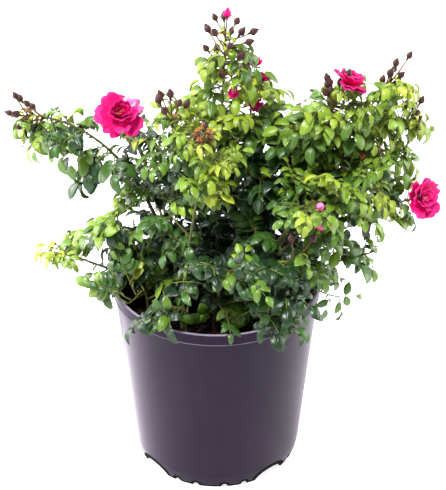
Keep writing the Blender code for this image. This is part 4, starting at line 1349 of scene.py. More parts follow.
# Where the leaves are painted darker or lighter than the rest of their shoot, partly for their age and
# partly as painted shade and painted light, in the same terms, and by how much.
shadeAndAgeShifts = (
    (-0.057, 0.38, 0.028, 0.036, -0.27), (-0.03, 0.343, 0.019, 0.028, -0.2),
    (-0.129, 0.334, 0.024, 0.031, -0.26), (-0.162, 0.404, 0.032, 0.016, -0.24),
    (-0.01, 0.238, 0.032, 0.014, -0.18), (0.081, 0.233, 0.035, 0.016, -0.12),
    (0.077, 0.309, 0.019, 0.02, -0.16), (0.156, 0.32, 0.017, 0.058, -0.08),
    (0.014, 0.408, 0.014, 0.02, 0.18), (-0.092, 0.265, 0.016, 0.028, 0.52),
    (-0.075, 0.309, 0.013, 0.015, 0.26), (-0.072, 0.23, 0.026, 0.023, 0.48),
    (0.101, 0.358, 0.026, 0.018, 0.1), (-0.168, 0.358, 0.02, 0.022, -0.18),
    (0.193, 0.288, 0.022, 0.015, 0.4), (0.145, 0.243, 0.018, 0.018, 0.42),
    (0.01, 0.181, 0.066, 0.016, 0.42), (0.033, 0.441, 0.02, 0.024, 0.26), (0.025, 0.315, 0.028, 0.039, 0.2),
    (0.089, 0.209, 0.014, 0.012, -0.2), (-0.115, 0.323, 0.017, 0.017, 0.32),
    (0.051, 0.357, 0.012, 0.014, 0.34), (0.114, 0.361, 0.014, 0.014, 0.36),
)
# How low leaves may come outside the rim, at each of three levels, and the room they leave to the pot.
rimRule = {
    "over": 0.010, "hang": -0.004, "dangle": -0.044,
    "hangers": ("left_rim", "front_left_rim", "front_rim", "front_right_rim", "right_rim"),
    "zone": 0.012, "above": 0.002, "outerGap": 0.0045, "innerGap": 0.003, "mixGap": 0.003,
}

# Single leaves in places of their own, for each shoot: share of its length, azimuth and height of the
# leaf's heading in degrees, size and youth.
placedLeaves = {
    "left_arm": (
        (0.68, 186, -52, 1.35, 0.45), (0.72, 170, 8, 1.1, 0.45), (0.62, -88, 8, 1.2, 0.36),
        (0.78, -125, 5, 1.05, 0.5), (0.71, 184, -44, 1.05, 0.42), (0.54, 190, -78, 0.86, 0.36),
        (0.95, 200, -78, 1.0, 0.66), (0.99, 180, -76, 0.8, 0.8), (0.5, 200, -50, 1.15, 0.34),
        (0.54, 250, -15, 1.1, 0.3), (0.48, 120, 20, 1.1, 0.25), (0.84, -100, -35, 0.95, 0.6),
        (0.93, 215, -55, 0.85, 0.8), (0.9, -60, -40, 0.85, 0.72), (0.97, 190, -35, 0.8, 0.85),
        (0.8, 80, -10, 1.0, 0.45), (0.87, 100, 0, 0.9, 0.6), (0.9, -90, -60, 0.95, 0.66),
        (0.84, -80, -60, 1.0, 0.55), (0.87, -120, -70, 0.9, 0.66), (0.94, -80, -50, 0.9, 0.7),
        (0.65, 200, -45, 1.25, 0.4), (0.86, 120, 52, 0.9, 0.6),
    ),
    "left_dome": ((0.98, 150, 40, 0.8, 0.66),),
    "left_low": (
        (0.84, 200, -50, 0.8, 0.6), (0.8, 120, 45, 0.85, 0.75), (0.88, -150, 30, 0.85, 0.7),
        (0.72, 60, 50, 0.9, 0.6), (0.95, 185, 10, 0.85, 0.76),
    ),
    "right_bloom": (
        (1.0, 20, 72, 0.91, 0.86), (0.9, 170, 60, 0.9, 0.52), (0.82, 100, 30, 1.0, 0.4),
        (0.95, 80, 62, 1.15, 0.9), (0.88, 150, 55, 1.0, 0.55), (0.62, -20, -35, 1.1, 0.52),
        (0.5, -30, -60, 0.9, 0.4), (0.8, -20, -40, 0.88, 0.55), (0.42, -100, -70, 0.9, 0.45),
        (0.66, -60, -60, 0.85, 0.5),
    ),
    "right_end": ((1.0, 0, -35, 0.85, 0.8), (0.95, 20, -20, 0.95, 0.8), (0.9, -30, -10, 0.95, 0.72)),
    "top_spire": ((0.94, 0, -10, 0.8, 0.55), (0.9, 182, 12, 0.9, 0.6)),
    "right_top_bloom": (
        (0.8, 175, 30, 1.05, 0.45), (0.88, 200, 35, 0.95, 0.55), (0.92, 140, 45, 0.9, 0.6),
        (0.74, 185, 50, 1.05, 0.4),
    ),
    "right_low": (
        (1.0, 60, 20, 0.85, 0.6), (0.96, -60, -20, 0.9, 0.55), (0.92, 170, 50, 0.85, 0.45),
        (0.86, -30, -30, 0.8, 0.45), (0.62, 0, -60, 0.9, 0.45), (0.58, -60, -50, 0.9, 0.4),
    ),
    "left_middle": ((1.0, 185, 10, 0.9, 0.7), (0.98, 190, 20, 1.0, 0.7), (0.9, 150, 40, 0.95, 0.5)),
    "right_rim": ((1.0, 0, -82, 0.76, 0.55), (1.0, 15, 18, 0.8, 0.5), (0.86, 195, -74, 0.78, 0.5)),
}
# Short twigs in places of their own: share, azimuth and height of the heading, length, leaves, size
# and youth.
placedTwigs = {
    "top_spire": (
        (0.87, 180, 5, 0.016, 2, 0.9, 0.5), (0.8, 195, -15, 0.018, 3, 0.9, 0.55),
        (0.93, 0, 0, 0.01, 2, 0.85, 0.4), (0.89, -4, 0, 0.024, 3, 0.88, 0.4),
        (0.84, -5, 10, 0.026, 3, 0.9, 0.5), (0.8, -15, 0, 0.022, 3, 0.9, 0.6),
        (0.74, 180, 25, 0.02, 3, 0.95, 0.78), (0.76, -150, 0, 0.014, 3, 0.95, 0.7),
    ),
    "spire_shoulder": (
        (0.98, -10, 40, 0.006, 3, 0.95, 0.75), (0.92, 10, 10, 0.01, 3, 1.0, 0.6),
        (0.86, -80, 0, 0.01, 3, 1.0, 0.45), (0.8, 0, -5, 0.014, 3, 1.0, 0.3),
    ),
    "centre": (
        (1.0, 165, 60, 0.012, 3, 1.0, 0.3), (0.96, 10, 45, 0.014, 3, 1.0, 0.3),
        (0.9, 60, 30, 0.016, 3, 1.0, 0.2), (1.0, 200, 15, 0.016, 3, 1.0, 0.25),
        (1.0, 20, 15, 0.02, 3, 1.0, 0.25),
    ),
    "right_inner": (
        (1.0, 175, 40, 0.02, 4, 1.0, 0.5), (0.94, 190, 20, 0.016, 3, 1.0, 0.4),
        (0.9, 120, 40, 0.016, 3, 1.0, 0.3), (0.85, 180, 0, 0.02, 3, 1.0, 0.3),
    ),
    "right_top_bloom": (
        (0.9, 180, 10, 0.018, 3, 1.0, 0.62), (0.84, 185, 20, 0.016, 3, 1.0, 0.5),
        (0.94, -10, -20, 0.012, 3, 1.0, 0.55), (0.94, 180, 32, 0.018, 3, 0.95, 0.6),
    ),
    "right_spire": ((0.96, -170, 20, 0.01, 3, 0.95, 0.6), (0.8, 190, 10, 0.014, 4, 1.0, 0.4)),
    "right_end": (
        (0.96, 180, 68, 0.014, 3, 0.95, 0.65), (0.94, 0, -14, 0.03, 2, 1.0, 0.88),
        (0.94, 10, -20, 0.012, 3, 1.0, 0.85), (0.91, 0, -57, 0.02, 3, 1.0, 0.6),
    ),
    "right_bloom": ((0.84, 170, 60, 0.012, 3, 1.0, 0.5), (0.42, 0, -75, 0.018, 3, 1.0, 0.45)),
    "right_low": (
        (1.0, 0, -5, 0.008, 3, 0.95, 0.75), (0.9, -40, -10, 0.012, 3, 1.0, 0.45),
        (0.72, 0, -65, 0.012, 3, 1.0, 0.35), (0.8, 0, 20, 0.012, 3, 1.0, 0.4),
        (0.55, -60, -50, 0.014, 3, 0.9, 0.42), (0.56, 0, -67, 0.012, 2, 0.88, 0.5),
        (0.98, 20, 0, 0.008, 2, 0.9, 0.62),
    ),
    "right_rim": ((0.73, 0, 74, 0.012, 3, 0.9, 0.42),),
    "front_right_rim": ((0.55, -95, -5, 0.022, 3, 1.0, 0.35),),
    "left_arm": (
        (0.67, 188, -66, 0.024, 2, 1.2, 0.38), (0.56, 190, -50, 0.014, 2, 1.15, 0.36),
        (0.47, 195, -58, 0.02, 2, 1.2, 0.45), (0.42, 188, -45, 0.014, 2, 1.15, 0.4),
    ),
    "left_middle": ((1.0, 180, 45, 0.006, 3, 0.95, 0.7), (0.92, 160, 50, 0.01, 3, 1.0, 0.55)),
    "left_low": (
        (0.95, 170, 65, 0.01, 3, 0.85, 0.78), (1.0, 180, 20, 0.006, 2, 0.85, 0.82),
        (1.0, 12, 70, 0.02, 3, 0.9, 0.78), (0.62, 198, -68, 0.036, 2, 0.88, 0.45),
        (0.5, 200, -62, 0.02, 2, 0.9, 0.4), (0.72, 190, -60, 0.01, 2, 0.88, 0.5),
        (0.62, 220, -15, 0.012, 3, 0.95, 0.45),
    ),
    "left_rim": (
        (1.0, 178, 28, 0.014, 3, 0.95, 0.52), (0.85, 185, 30, 0.014, 3, 0.95, 0.35),
        (0.7, 160, 60, 0.014, 3, 0.95, 0.3),
    ),
    "front_left_rim": ((0.98, 178, 14, 0.018, 2, 0.9, 0.52), (0.8, 190, 20, 0.016, 2, 0.9, 0.46)),
}
# Buds, young flowers and spent ones in places of their own: share, azimuth and height of the heading,
# length of the stalk, kind.
placedFlowers = {
    "front_right_dome": ((0.97, -72, 6, 0.02, "pink"),),
    "right_dome": ((0.74, -90, 2, 0.038, "pink"),),
    "right_spire": (
        (0.88, -60, -20, 0.014, "spent"), (0.9, -20, -10, 0.014, "spent"), (0.68, -90, 0, 0.014, "spent"),
        (0.7, -60, 30, 0.012, "bud"),
    ),
    "right_end": ((0.82, -60, 0, 0.014, "spent"), (0.79, -100, -10, 0.016, "spent")),
    "right_top_bloom": (
        (0.89, -110, 20, 0.01, "spent"), (0.97, 180, 55, 0.012, "bud"), (0.95, 190, 40, 0.009, "bud"),
    ),
    "top_spire": (
        (0.84, -95, 10, 0.012, "bud"), (0.78, -60, 0, 0.014, "open"), (0.965, 0, 2, 0.022, "bud"),
        (0.95, -20, -2, 0.019, "bud"),
    ),
    "spire_shoulder": (
        (0.97, -110, 0, 0.014, "open"), (0.94, -80, -20, 0.014, "open"), (1.0, -150, 60, 0.016, "open"),
    ),
}


def seenAt(point):
    # where the line of sight to the point crosses the upright plane: x and height
    eyeX, eyeY, eyeZ = view["place"]
    share = eyeY / (eyeY - point.y)
    return eyeX + (point.x - eyeX) * share, eyeZ + (point.z - eyeZ) * share


def ovalsAt(point, table):
    # the rows of the table whose oval the line of sight to the point runs through
    x, z = seenAt(point)
    return [row for row in table if ((x - row[0]) / row[2]) ** 2 + ((z - row[1]) / row[3]) ** 2 < 1]


def isOpen(point):
    return bool(ovalsAt(point, openSpaces)) or any(point.y < row[4] for row in ovalsAt(point, hollows))


def isFree(point, level):
    # inside the plant's own box, clear of the pot and the mix, and not in an open space
    over, rule = leafRule["reachOver"], rimRule
    if any(c < low - over or c > high + over for c, low, high in zip(point, cadLow, cadHigh)):
        return False
    distance = math.hypot(point.x, point.y)
    top = potShape["height"]
    if point.z < top + rule[level] and distance > potShape["rim"] - rule["zone"]:
        return False
    if point.z < top + rule["above"]:
        outer = wallRadius(point.z) + rule["outerGap"]
        inner = wallRadius(point.z) - potShape["wall"] - rule["innerGap"]
        if inner < distance < outer or (distance < inner and point.z < mixShape["top"] + rule["mixGap"]):
            return False
    return not isOpen(point)


# Whorls of a full bloom and of a small one: kind of petal, count, tilt from the axis, length to width.
fullWhorls = (
    ("outer", 5, 86, 0.54), ("outer", 5, 72, 0.50), ("middle", 5, 60, 0.40),
    ("middle", 4, 46, 0.31), ("heart", 4, 34, 0.20),
)
youngWhorls = (("outer", 4, 62, 0.55), ("middle", 4, 36, 0.48), ("heart", 3, 14, 0.36))
# A bloom: lengths are shares of its width, but for its neck.
bloomRule = {
    "turnRange": (0.86, 1.14), "tiltRange": 11, "sizeRange": (0.88, 1.10), "rollRange": 0.3,
    "paleUp": 0.1, "paleSide": -0.2, "pale": (0.75, 1.0), "shade": 0.5, "stagger": (0.3, 0.8), "stamens": 14,
    "stamenSpread": (0.1, 0.7), "stamenSize": (0.13, 0.18), "hipBack": 0.15, "hip": 0.17, "sepalBack": 0.05,
    "sepal": 0.28, "sepalOpen": 1.80, "sepalShade": 0.5, "paleBloom": "left_bloom",
    "neck": (-0.003, 0.003, 0.007), "neckRadii": (0.0012, 0.0012, 0.0014), "stand": 0.011,
}
# A bud: lengths are shares of its own. Closed and pink: size and opening of its sepals.
budRule = {
    "hip": 0.34, "root": 0.24, "closed": ("sepal", 0.96, 0.26), "pink": ("openSepal", 0.8, 0.9), "sepals": 5,
    "sepalOut": 0.06, "sepalLean": 0.2,
}
spentRule = {
    "hipBack": 0.002, "hip": 0.0036, "sepal": (0.0070, 0.0095), "sepalOpen": 0.95, "stamens": 12,
    "stamenSpread": (0.2, 1.1), "stamenSize": (0.0040, 0.0058),
}
stalkRule = {"radius": 0.00085, "bow": 0.25, "taper": (1.15, 0.3), "stand": 0.004}
looseRule = {"width": (0.014, 0.018), "bud": 0.0115, "shade": 0.8}
bractRule = {
    "lift": (-0.3, 0.5), "size": (0.009, 0.015), "lean": 0.4, "reach": 0.9,
    "tints": ("bronze", "young", "young"),
}
# A head of buds: each head below changes some of these. Count of stalks, how far down the stem they start,
# their spread, length, lift, first turn and lean, the first one's length, which carry another kind, and
# how far up the shoot its sprays go on.
headBase = {
    "count": 7, "down": 0.018, "spread": (0.55, 1.0), "stalk": 0.016, "lift": 0.25, "turn": 0.0,
    "lean": (0, 0, 0), "first": 1, "pink": (), "open": (), "spent": (), "clear": 1,
    "firstSpread": 0.12, "reachRange": (0.7, 1.1), "lowReach": 0.5, "sunk": 0.001, "shortest": 0.003,
    "room": 0.0175, "budSunk": 0.0006, "bud": (0.0096, 0.0120), "pinkGrowth": 1.06, "width": (0.013, 0.017),
    "bracts": 2, "bractOpen": (0.6, 1.1),
}
heads = {
    "top_spire": {"count": 12, "down": 0.050, "spread": (0.75, 1.15), "pink": (0,), "clear": 0.93},
    "spire_shoulder": {
        "count": 9, "down": 0.032, "pink": (1, 4), "open": (0, 2, 3, 5, 6, 8), "lean": (-0.15, -0.7, 0.1),
    },
    "left_dome": {"lift": 0.4},
    "front_dome": {"down": 0.016, "stalk": 0.011, "spent": (1, 2, 3, 4, 5, 6)},
    "left_arm": {"count": 9, "down": 0.024, "lift": -0.05, "spread": (0.5, 1.0)},
    "right_spire": {"down": 0.030, "stalk": 0.012, "lift": 0.7, "lean": (0.65, 0, 0.2), "first": 1.8},
    "right_end": {"count": 5, "down": 0.022, "stalk": 0.014, "lift": 0.5},
    "right_top_bloom": {"down": 0.028, "spread": (0.6, 1.1), "turn": 2.0, "lean": (-0.25, 0.45, 0.1)},
    "right_bloom": {"count": 2, "down": 0.020, "stalk": 0.012, "spread": (0.7, 1.0), "clear": 0.90},
    "front_right": {"count": 2},
    "back_left": {},
    "right_back": {},
    "back": {"count": 4, "spread": (0.7, 1.1)},
}


class Plant:
    # all the copies and paths that grow, sorted by what they are joined into
    def __init__(self, shapes):
        self.shapes = shapes
        self.leaflets = {tint: [] for tint in leafLooks}
        self.paths = {kind: [] for kind in limbLooks}
        self.copies = {kind: [] for kind in copyLooks}

    def tintOf(self, youth):
        place = (1 - youth) * len(tints)
        return tints[max(0, min(len(tints) - 1, int(place)))]

    def leaf(self, rng, base, heading, size, youth, level="over"):
        # one pinnate leaf: a rachis that sags, pairs of leaflets and one at its end
        rule = leafRule
        outward = (base - crownCentre).normalized()
        for _ in range(rule["tries"]):
            droop = Vector((0, 0, rng.uniform(*rule["droop"])))
            lead = (heading + droop).normalized()
            turn = Vector([rng.uniform(-rule["faceRange"], rule["faceRange"]) for _ in range(3)])
            face = up * rule["upward"] + outward * rule["outward"] + turn
            if level == "dangle":
                face += Vector((0, -rule["toFront"], 0))
            face.normalize()
            pairs = 1 if level == "dangle" and size < rule["threeUnder"] else rng.choice(rule["pairs"])
            length = rule["rachis"] * size * rng.uniform(*rule["rachisRange"])
            path = arc(base, lead, length * (rule["short"] if pairs == 1 else 1), -rule["sag"])
            placed = self.leafletsOf(rng, path, face, size, pairs, youth, level)
            if placed is None:
                continue
            # the shift darkens or lightens the tint: partly age, partly painted shade and painted light
            shift = sum(row[4] for row in ovalsAt(path[-1], shadeAndAgeShifts))
            tint = self.tintOf(youth + shift + rng.uniform(-rule["tintRange"], rule["tintRange"]))
            shade = rng.random() * rule["shade"]
            for shape, matrix in placed:
                own = min(1, shade + rng.uniform(0, rule["shadeRange"]))
                self.leaflets[tint].append((shape, matrix, own))
            self.paths["leaf_stalks"].append((path, taper(rule["radius"] * size, *rule["taper"])))
            return True
        return False

    def leafletsOf(self, rng, path, face, size, pairs, youth, level):
        # the placed leaflets of one leaf, or nothing where one of them has no room
        rule = leafRule
        spots = []
        for pair in range(pairs):
            share = rule["firstPair"] + (rule["lastPair"] - rule["firstPair"]) * pair / pairs
            spots += [(share, -1), (share, 1)]
        spots.append((1.0, 0))
        isYoung = youth > rule["youngFrom"]
        placed = []
        for share, side in spots:
            place, along = pointOn(path, share)
            along.normalize()
            across = face.cross(along).normalized()
            opening = math.radians(rule["openBy"] + rng.uniform(*rule["openRange"])) * abs(side)
            heading = swung(along, across * side, opening)
            heading.z -= rng.uniform(*rule["youngHang" if isYoung else "hang"])
            heading.normalize()
            tilt = face + across * side * rng.uniform(*rule["tiltRange"]) + up * rule["tiltUp"]
            growth = rule["leafletFirst"] + rule["leafletGrowth"] * share
            length = rule["leaflet"] * size * rng.uniform(*rule["leafletRange"]) * growth
            matrix = frameAt(place + heading * rule["standOff"], heading, tilt, length)
            if not all(isFree(matrix @ Vector((x, y, 0)), level) for x, y in rule["tests"]):
                return None
            forms = self.shapes["young" if isYoung and rng.random() < rule["youngShare"] else "leaflet"]
            placed.append((rng.choice(forms), matrix))
        return placed

    def spray(self, rng, place, heading, length, size, youth, count, level):
        # the solids' spray carried further: a curved twig with leaves at its end and along its sides
        rule = sprayRule
        path = arc(place, heading, length, rule["lift"])
        if not all(isFree(point, "dangle") for point in path):
            return
        axis = heading.cross(up).cross(heading)
        grown = 0
        for turn, along in rule["places"][:count]:
            aim = math.radians(turn + rng.uniform(-rule["aimRange"], rule["aimRange"]))
            lead = (Matrix.Rotation(aim, 4, axis) @ heading).normalized()
            age = youth + rule["ageing"] * (along - rule["ageMiddle"])
            grown += self.leaf(rng, pointOn(path, along)[0], lead, size, age, level)
        if grown:
            self.paths["twigs"].append((path, taper(rule["radius"], *rule["taper"])))

    def limb(self, name, curve):
        # the cane and the stem that carries on from it, swollen a little at each joint
        rule = limbRule
        bare = shoots[name][4]
        steps = max(rule["fewest"], int((curve[3] - curve[0]).length / rule["step"]))
        rng = random.Random(name + " limb")
        phase = rng.random()
        points, radii = [], []
        for i in range(steps + 1):
            share = i / steps
            radius = caneRadius(name, share)
            if share > bare:
                radius += (plan["stemTip"] - plan["caneTip"]) * (share - bare) / (1 - bare)
            if not bare:
                radius *= rule["slim"]
            joint = abs((share * rule["joints"] + phase) % 1 - 0.5) * 2
            radius *= 1 + rule["jointRise"] * max(0, joint - rule["jointFrom"]) / (1 - rule["jointFrom"])
            if not i and starts[name][0] not in shoots:
                radius *= plan["flare"]
            points.append(bezier(curve, share))
            radii.append(radius)
        split = round(bare * steps)
        if split:
            points[0] = points[0] - slope(curve, 0) * rule["sunk"]
            kind = "green_canes" if name in plan["greenCanes"] else "canes"
            self.paths[kind].append((points[:split + 1], radii[:split + 1]))
        self.paths["stems"].append((points[split:], radii[split:]))
        for _ in range(int(steps * rule["prickles"])):
            share = rng.uniform(*rule["prickleSpan"])
            along = slope(curve, share)
            across = acrossOf(along, rng.uniform(*anyTurn))
            place = bezier(curve, share) + across * caneRadius(name, share) * rule["prickleSeat"]
            matrix = frameAt(place, across, along, rng.uniform(*rule["prickleSize"]))
            self.copies["prickles"].append((self.shapes["prickle"], matrix, rng.random()))

    def sprays(self, name, curve):
        rule = shootRule
        bare, count, carries, youth, leaves, singles = shoots[name][4:]
        level = "hang" if name in rimRule["hangers"] else "over"
        rng = random.Random(name)
        turn = rng.uniform(0, 2 * math.pi)
        gaps = plan["firstGap"] + count - 1 + plan["lastGap"]
        small = 1 - rule["shrink"] * max(0, youth - rule["shrinkFrom"])
        clear = heads.get(name, {}).get("clear", headBase["clear"])
        first, last = plan["spraySizes"]
        for index in range(count):
            share = bare + (1 - bare) * (index + plan["firstGap"]) / gaps
            turn += plan["goldenTurn"] + rng.uniform(-plan["turnRange"], plan["turnRange"])
            opening = rng.uniform(*plan["sprayOpen"])
            size = first + (last - first) * share
            age = youth + rule["ageing"] * (share - rule["ageFrom"])
            heading = leanFrom(curve, share, turn, opening)
            length = plan["sprayLength"] * size * small
            if share > clear:
                break
            self.spray(rng, bezier(curve, share), heading, length, size * small, age, leaves, level)
            for single in range(singles):
                between = min(1, share + (1 - bare) * (single + 1) / (singles + 1) / gaps)
                way = turn + rule["singleTurn"] + rule["singleStep"] * single
                heading = leanFrom(curve, between, way, opening + rule["singleOpen"])
                self.leaf(rng, bezier(curve, between), heading, size * small, age)
        for low in range(rule["lowLeaves"] if bare else 0):
            share = bare * (rule["lowFrom"] + rule["lowSpan"] * (low + rng.random()) / rule["lowLeaves"])
            heading = leanFrom(curve, share, turn + plan["goldenTurn"] * low, opening)
            self.leaf(rng, bezier(curve, share), heading, rule["lowSize"], youth * rule["lowYouth"])
        for share, azimuth, height, size, age in placedLeaves.get(name, ()):
            self.leaf(rng, bezier(curve, share), headingOf(azimuth, height), size, age, "dangle")
        for share, azimuth, height, length, count, size, age in placedTwigs.get(name, ()):
            heading = headingOf(azimuth, height)
            self.spray(rng, bezier(curve, share), heading, length, size, age, count, "dangle")
        if not carries:
            end = random.Random(name + " end")
            self.leaf(end, curve[3], slope(curve, 1), last, youth, level)

    def looseFlowers(self, name, curve):
        rng = random.Random(name + " flowers")
        for share, azimuth, height, length, kind in placedFlowers.get(name, ()):
            end, facing = self.stalk(bezier(curve, share), headingOf(azimuth, height), length)
            if kind == "spent":
                self.spent(rng, end, facing)
            elif kind == "open":
                self.smallBloom(rng, end, facing, looseRule["width"])
            else:
                self.bud(end, facing, looseRule["bud"], looseRule["shade"], kind == "pink")

    def sepalsOf(self, place, heading, size, shape, opening, shade):
        for index in range(budRule["sepals"]):
            across = acrossOf(heading, index * 2 * math.pi / budRule["sepals"] + shade)
            inward = -across + heading * budRule["sepalLean"]
            start = place + across * size * budRule["sepalOut"]
            matrix = frameAt(start, swung(heading, across, opening), inward, size)
            self.copies["sepals"].append((self.shapes[shape], matrix, shade))

    def hip(self, place, facing, size, shade):
        self.copies["sepals"].append((self.shapes["hip"], frameAt(place, facing, up, size), shade))

    def bud(self, place, heading, size, shade, isPink):
        self.hip(place, heading, size * budRule["hip"], shade)
        root = place + heading * size * budRule["root"]
        matrix = frameAt(root, heading, up, size)
        self.copies["petals" if isPink else "buds"].append((self.shapes["bud"], matrix, shade))
        shape, length, opening = budRule["pink" if isPink else "closed"]
        self.sepalsOf(root, heading, size * length, shape, opening, shade)

    def stalk(self, start, heading, length):
        path = arc(start, heading, length, stalkRule["bow"])
        self.paths["bud_stalks"].append((path, taper(stalkRule["radius"], *stalkRule["taper"])))
        return path[5], (path[5] - path[4]).normalized()

    def bract(self, rng, place, heading):
        # a small bronzed leaf at the foot of a flower stalk
        rule = bractRule
        lead = (heading + up * rng.uniform(*rule["lift"])).normalized()
        matrix = frameAt(place, lead, up + heading * rule["lean"], rng.uniform(*rule["size"]))
        if isFree(matrix @ Vector((rule["reach"], 0, 0)), "dangle"):
            tint = rng.choice(rule["tints"])
            self.leaflets[tint].append((rng.choice(self.shapes["young"]), matrix, rng.random()))

    def head(self, name, curve):
        # a loose flower head: stalks leave the stem's end by the golden turn, the lower ones longer
        look = {**headBase, **heads[name]}
        rng = random.Random(name + " head")
        length = (curve[3] - curve[0]).length
        for index in range(look["count"]):
            share = 1 - look["down"] / length * index / look["count"]
            along = slope(curve, share)
            spread = look["firstSpread"] if index == 0 else rng.uniform(*look["spread"])
            heading = leanFrom(curve, share, index * plan["goldenTurn"] + look["turn"], spread)
            heading = (heading + up * look["lift"] + Vector(look["lean"])).normalized()
            lower = 1 + look["lowReach"] * index / look["count"]
            reach = look["stalk"] * rng.uniform(*look["reachRange"]) * lower
            if index == 0:
                reach *= look["first"]
            start = bezier(curve, share) - along * look["sunk"]
            reach = min(reach, max(look["shortest"], cadHigh.z - look["room"] - start.z))
            end, facing = self.stalk(start, heading, reach)
            isPink = index in look["pink"]
            size = rng.uniform(*look["bud"]) * (look["pinkGrowth"] if isPink else 1)
            if index in look["spent"]:
                self.spent(rng, end, facing)
            elif index in look["open"]:
                self.smallBloom(rng, end, facing, look["width"])
            else:
                self.bud(end - facing * look["budSunk"], facing, size, rng.random(), isPink)
            for _ in range(look["bracts"]):
                side = leanFrom(curve, share, rng.uniform(*anyTurn), rng.uniform(*look["bractOpen"]))
                self.bract(rng, bezier(curve, share), side)

    def tuft(self, rng, centre, facing, count, spread, scale, sizes):
        # stamens round the axis
        for index in range(count):
            lead = facing + acrossOf(facing, index * plan["goldenTurn"]) * rng.uniform(*spread)
            matrix = frameAt(centre, lead, up, scale * rng.uniform(*sizes))
            self.copies["stamens"].append((self.shapes["anther"], matrix, rng.random()))

    def spent(self, rng, centre, facing):
        # a flower that has dropped its petals: open sepals round a tuft of stamens
        rule = spentRule
        self.hip(centre - facing * rule["hipBack"], facing, rule["hip"], rng.random())
        size = rng.uniform(*rule["sepal"])
        self.sepalsOf(centre, facing, size, "openSepal", rule["sepalOpen"], rng.random())
        self.tuft(rng, centre, facing, rule["stamens"], rule["stamenSpread"], 1, rule["stamenSize"])

    def petal(self, rng, centre, facing, width, isPale, turn, whorl):
        rule = bloomRule
        kind, _, tilt, reach = whorl
        opening = math.radians(tilt + rng.uniform(-rule["tiltRange"], rule["tiltRange"]))
        across = acrossOf(facing, turn)
        size = width * reach * rng.uniform(*rule["sizeRange"])
        tilted = facing + across.cross(facing) * rng.uniform(-rule["rollRange"], rule["rollRange"])
        matrix = frameAt(centre, swung(facing, across, opening), tilted, size)
        # the upper outer petals of the pale bloom get a high shade value, which paints a pale highlight on
        # them
        isPale = isPale and kind == "outer" and across.z > rule["paleUp"] and across.x > rule["paleSide"]
        shade = rng.uniform(*rule["pale"]) if isPale else rng.random() ** 2 * rule["shade"]
        self.copies["petals"].append((rng.choice(self.shapes[kind]), matrix, shade))

    def bloom(self, rng, centre, facing, width, isPale, whorls):
        # whorls of petals from a wide outer ring to a closed heart
        rule = bloomRule
        turn = rng.uniform(0, 2 * math.pi)
        for whorl in whorls:
            for _ in range(whorl[1]):
                turn += 2 * math.pi / whorl[1] * rng.uniform(*rule["turnRange"])
                self.petal(rng, centre, facing, width, isPale, turn, whorl)
            turn += rng.uniform(*rule["stagger"])
        self.tuft(rng, centre, facing, rule["stamens"], rule["stamenSpread"], width, rule["stamenSize"])
        self.hip(centre - facing * width * rule["hipBack"], facing, width * rule["hip"], rule["sepalShade"])
        back, size = centre - facing * width * rule["sepalBack"], width * rule["sepal"]
        self.sepalsOf(back, facing, size, "openSepal", rule["sepalOpen"], rule["sepalShade"])

    def smallBloom(self, rng, end, facing, widths):
        self.bloom(rng, end + facing * stalkRule["stand"], facing, rng.uniform(*widths), False, youngWhorls)

    def bloomHead(self, name, curve):
        rule = bloomRule
        rng = random.Random(name + " bloom")
        width, azimuth, height = blooms[name]
        facing = headingOf(azimuth, height)
        tip = curve[3]
        back, middle, front = rule["neck"]
        path = [tip + slope(curve, 1) * back, tip + facing * middle, tip + facing * front]
        self.paths["bud_stalks"].append((path, rule["neckRadii"]))
        self.bloom(rng, tip + facing * rule["stand"], facing, width, name == rule["paleBloom"], fullWhorls)


# Each kind of limb: roundness of its tubes, its skin (two screen colours, roughness, relief), its slot and
# the strength of a bark that is modelled.
limbLooks = {
    "canes": (3, ("caneBark", (70, 82, 34), (72, 52, 32), 0.55, 0.5), "cane", 0.0009),
    "green_canes": (3, ("greenBark", (136, 166, 78), (110, 138, 62), 0.5, 0.3), "cane", 0.0006),
    "stems": (2, ("stemSkin", (80, 98, 38), (74, 60, 34), 0.5, 0.3), "cane", 0),
    "twigs": (1, ("twigSkin", (82, 104, 38), (78, 64, 34), 0.5, 0.2), "foliage", 0),
    "leaf_stalks": (0, ("stalkSkin", (122, 150, 56), (112, 104, 48), 0.5, 0.2), "foliage", 0),
    "bud_stalks": (1, ("budStalkSkin", (116, 92, 44), (86, 48, 34), 0.5, 0.2), "foliage", 0),
}
# Each kind of copy: its slot and its finishes, the second for undersides.
copyLooks = {
    "prickles": ("cane", stemFinish, ("prickleHorn", (118, 74, 46), (92, 50, 32), 0.45, 0.1)),
    "buds": ("foliage", budFinish, ("budSkin", (78, 36, 32), (44, 24, 24))),
    "sepals": (
        "foliage", budFinish, ("sepalSkin", (86, 62, 40), (70, 38, 30)),
        ("sepalBack", (110, 98, 56), (80, 58, 40)),
    ),
    # the third colour of each petal finish lights the petal ends as a painted highlight
    "petals": (
        "foliage", petalFinish, ("petalFace", (216, 4, 106), (206, 12, 70), (228, 70, 178)),
        ("petalBack", (206, 16, 112), (220, 84, 130), (228, 110, 192)),
    ),
    "stamens": ("foliage", budFinish, ("stamenYellow", (212, 142, 62), (166, 84, 40))),
}
backWarmth = 0.5  # how much of the upper face's warm margin an underside has
barkGrain = 0.0035


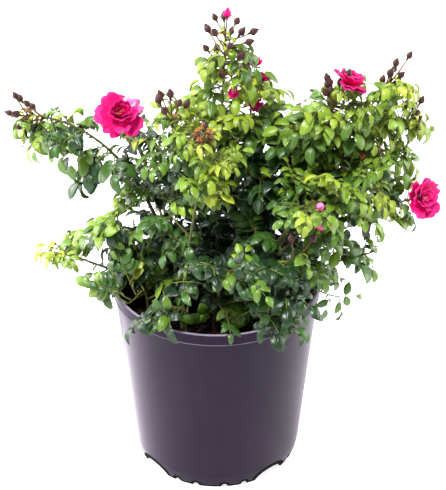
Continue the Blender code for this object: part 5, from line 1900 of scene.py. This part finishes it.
def finishPieces(plant):
    replaced = {
        "middle": [name + "_foliage" for name in shoots],
        "canes": [name + "_cane" for name in shoots if shoots[name][4] and name not in plan["greenCanes"]],
        "green_canes": [name + "_cane" for name in plan["greenCanes"]],
    }
    for tint, (upper, under, warmth) in leafLooks.items():
        looks = [
            leafFinish(tint + "Leaf", upper, warmth, False),
            leafFinish(tint + "LeafBack", under, warmth * backWarmth, True),
        ]
        leaflets = joinCopies(tint + "_leaflets", plant.leaflets[tint], looks)
        seat(leaflets, "foliage", *replaced.get(tint, ()))
    for kind, (rounding, skin, slot, relief) in limbLooks.items():
        limbs = tubes(kind, plant.paths[kind], rounding, stemFinish(*skin))
        if relief:
            addRelief(limbs, barkGrain, relief)
            applyModifiers(limbs)
        seat(limbs, slot, *replaced.get(kind, ()))
    for kind, (slot, finish, *skins) in copyLooks.items():
        seat(joinCopies(kind, plant.copies[kind], [finish(*skin) for skin in skins]), slot)


crownShape = {"segments": 40, "rings": 24, "relief": 0.004, "sunk": 0.001, "sharpFrom": 60}


def makeCrown():
    s = crownShape
    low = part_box("crown")[0]
    radius, height = plan["crownRadius"], plan["crownHeight"]
    bpy.ops.mesh.primitive_uv_sphere_add(segments=s["segments"], ring_count=s["rings"], radius=radius)
    knuckle = bpy.context.object
    flatter = Matrix.Diagonal((1, 1, height / radius, 1))
    knuckle.data.transform(Matrix.Translation((0, 0, low.z)) @ flatter)
    startEdit(knuckle)
    foot = (0, 0, low.z - s["sunk"])
    bpy.ops.mesh.bisect(plane_co=foot, plane_no=(0, 0, 1), clear_inner=True, use_fill=True)
    endEdit()
    addRelief(knuckle, barkGrain, s["relief"])
    applyModifiers(knuckle)
    knuckle.name = "crown_bark"
    dress(knuckle, stemFinish("crownBark", (104, 76, 50), (66, 46, 32), 0.85, 0.9))
    smooth(knuckle, s["sharpFrom"])
    seat(knuckle, "bark", "crown")


def main():
    setCamera()
    setSky()
    setLights()
    setFloor()
    print("camera, floor and light are set")
    makePot()
    makeMix()
    makeChips()
    makeCrown()
    print("pot, mix and crown are made")
    curves = planShoots()
    plant = Plant(makeTemplates())
    for name, curve in curves.items():
        plant.limb(name, curve)
        plant.sprays(name, curve)
        plant.looseFlowers(name, curve)
        if name in heads:
            plant.head(name, curve)
        if name in blooms:
            plant.bloomHead(name, curve)
    leaflets = sum(len(rows) for rows in plant.leaflets.values())
    print("grown:", leaflets, "leaflets,", len(plant.copies["buds"]), "buds")
    finishPieces(plant)
    print("pieces are joined")


main()
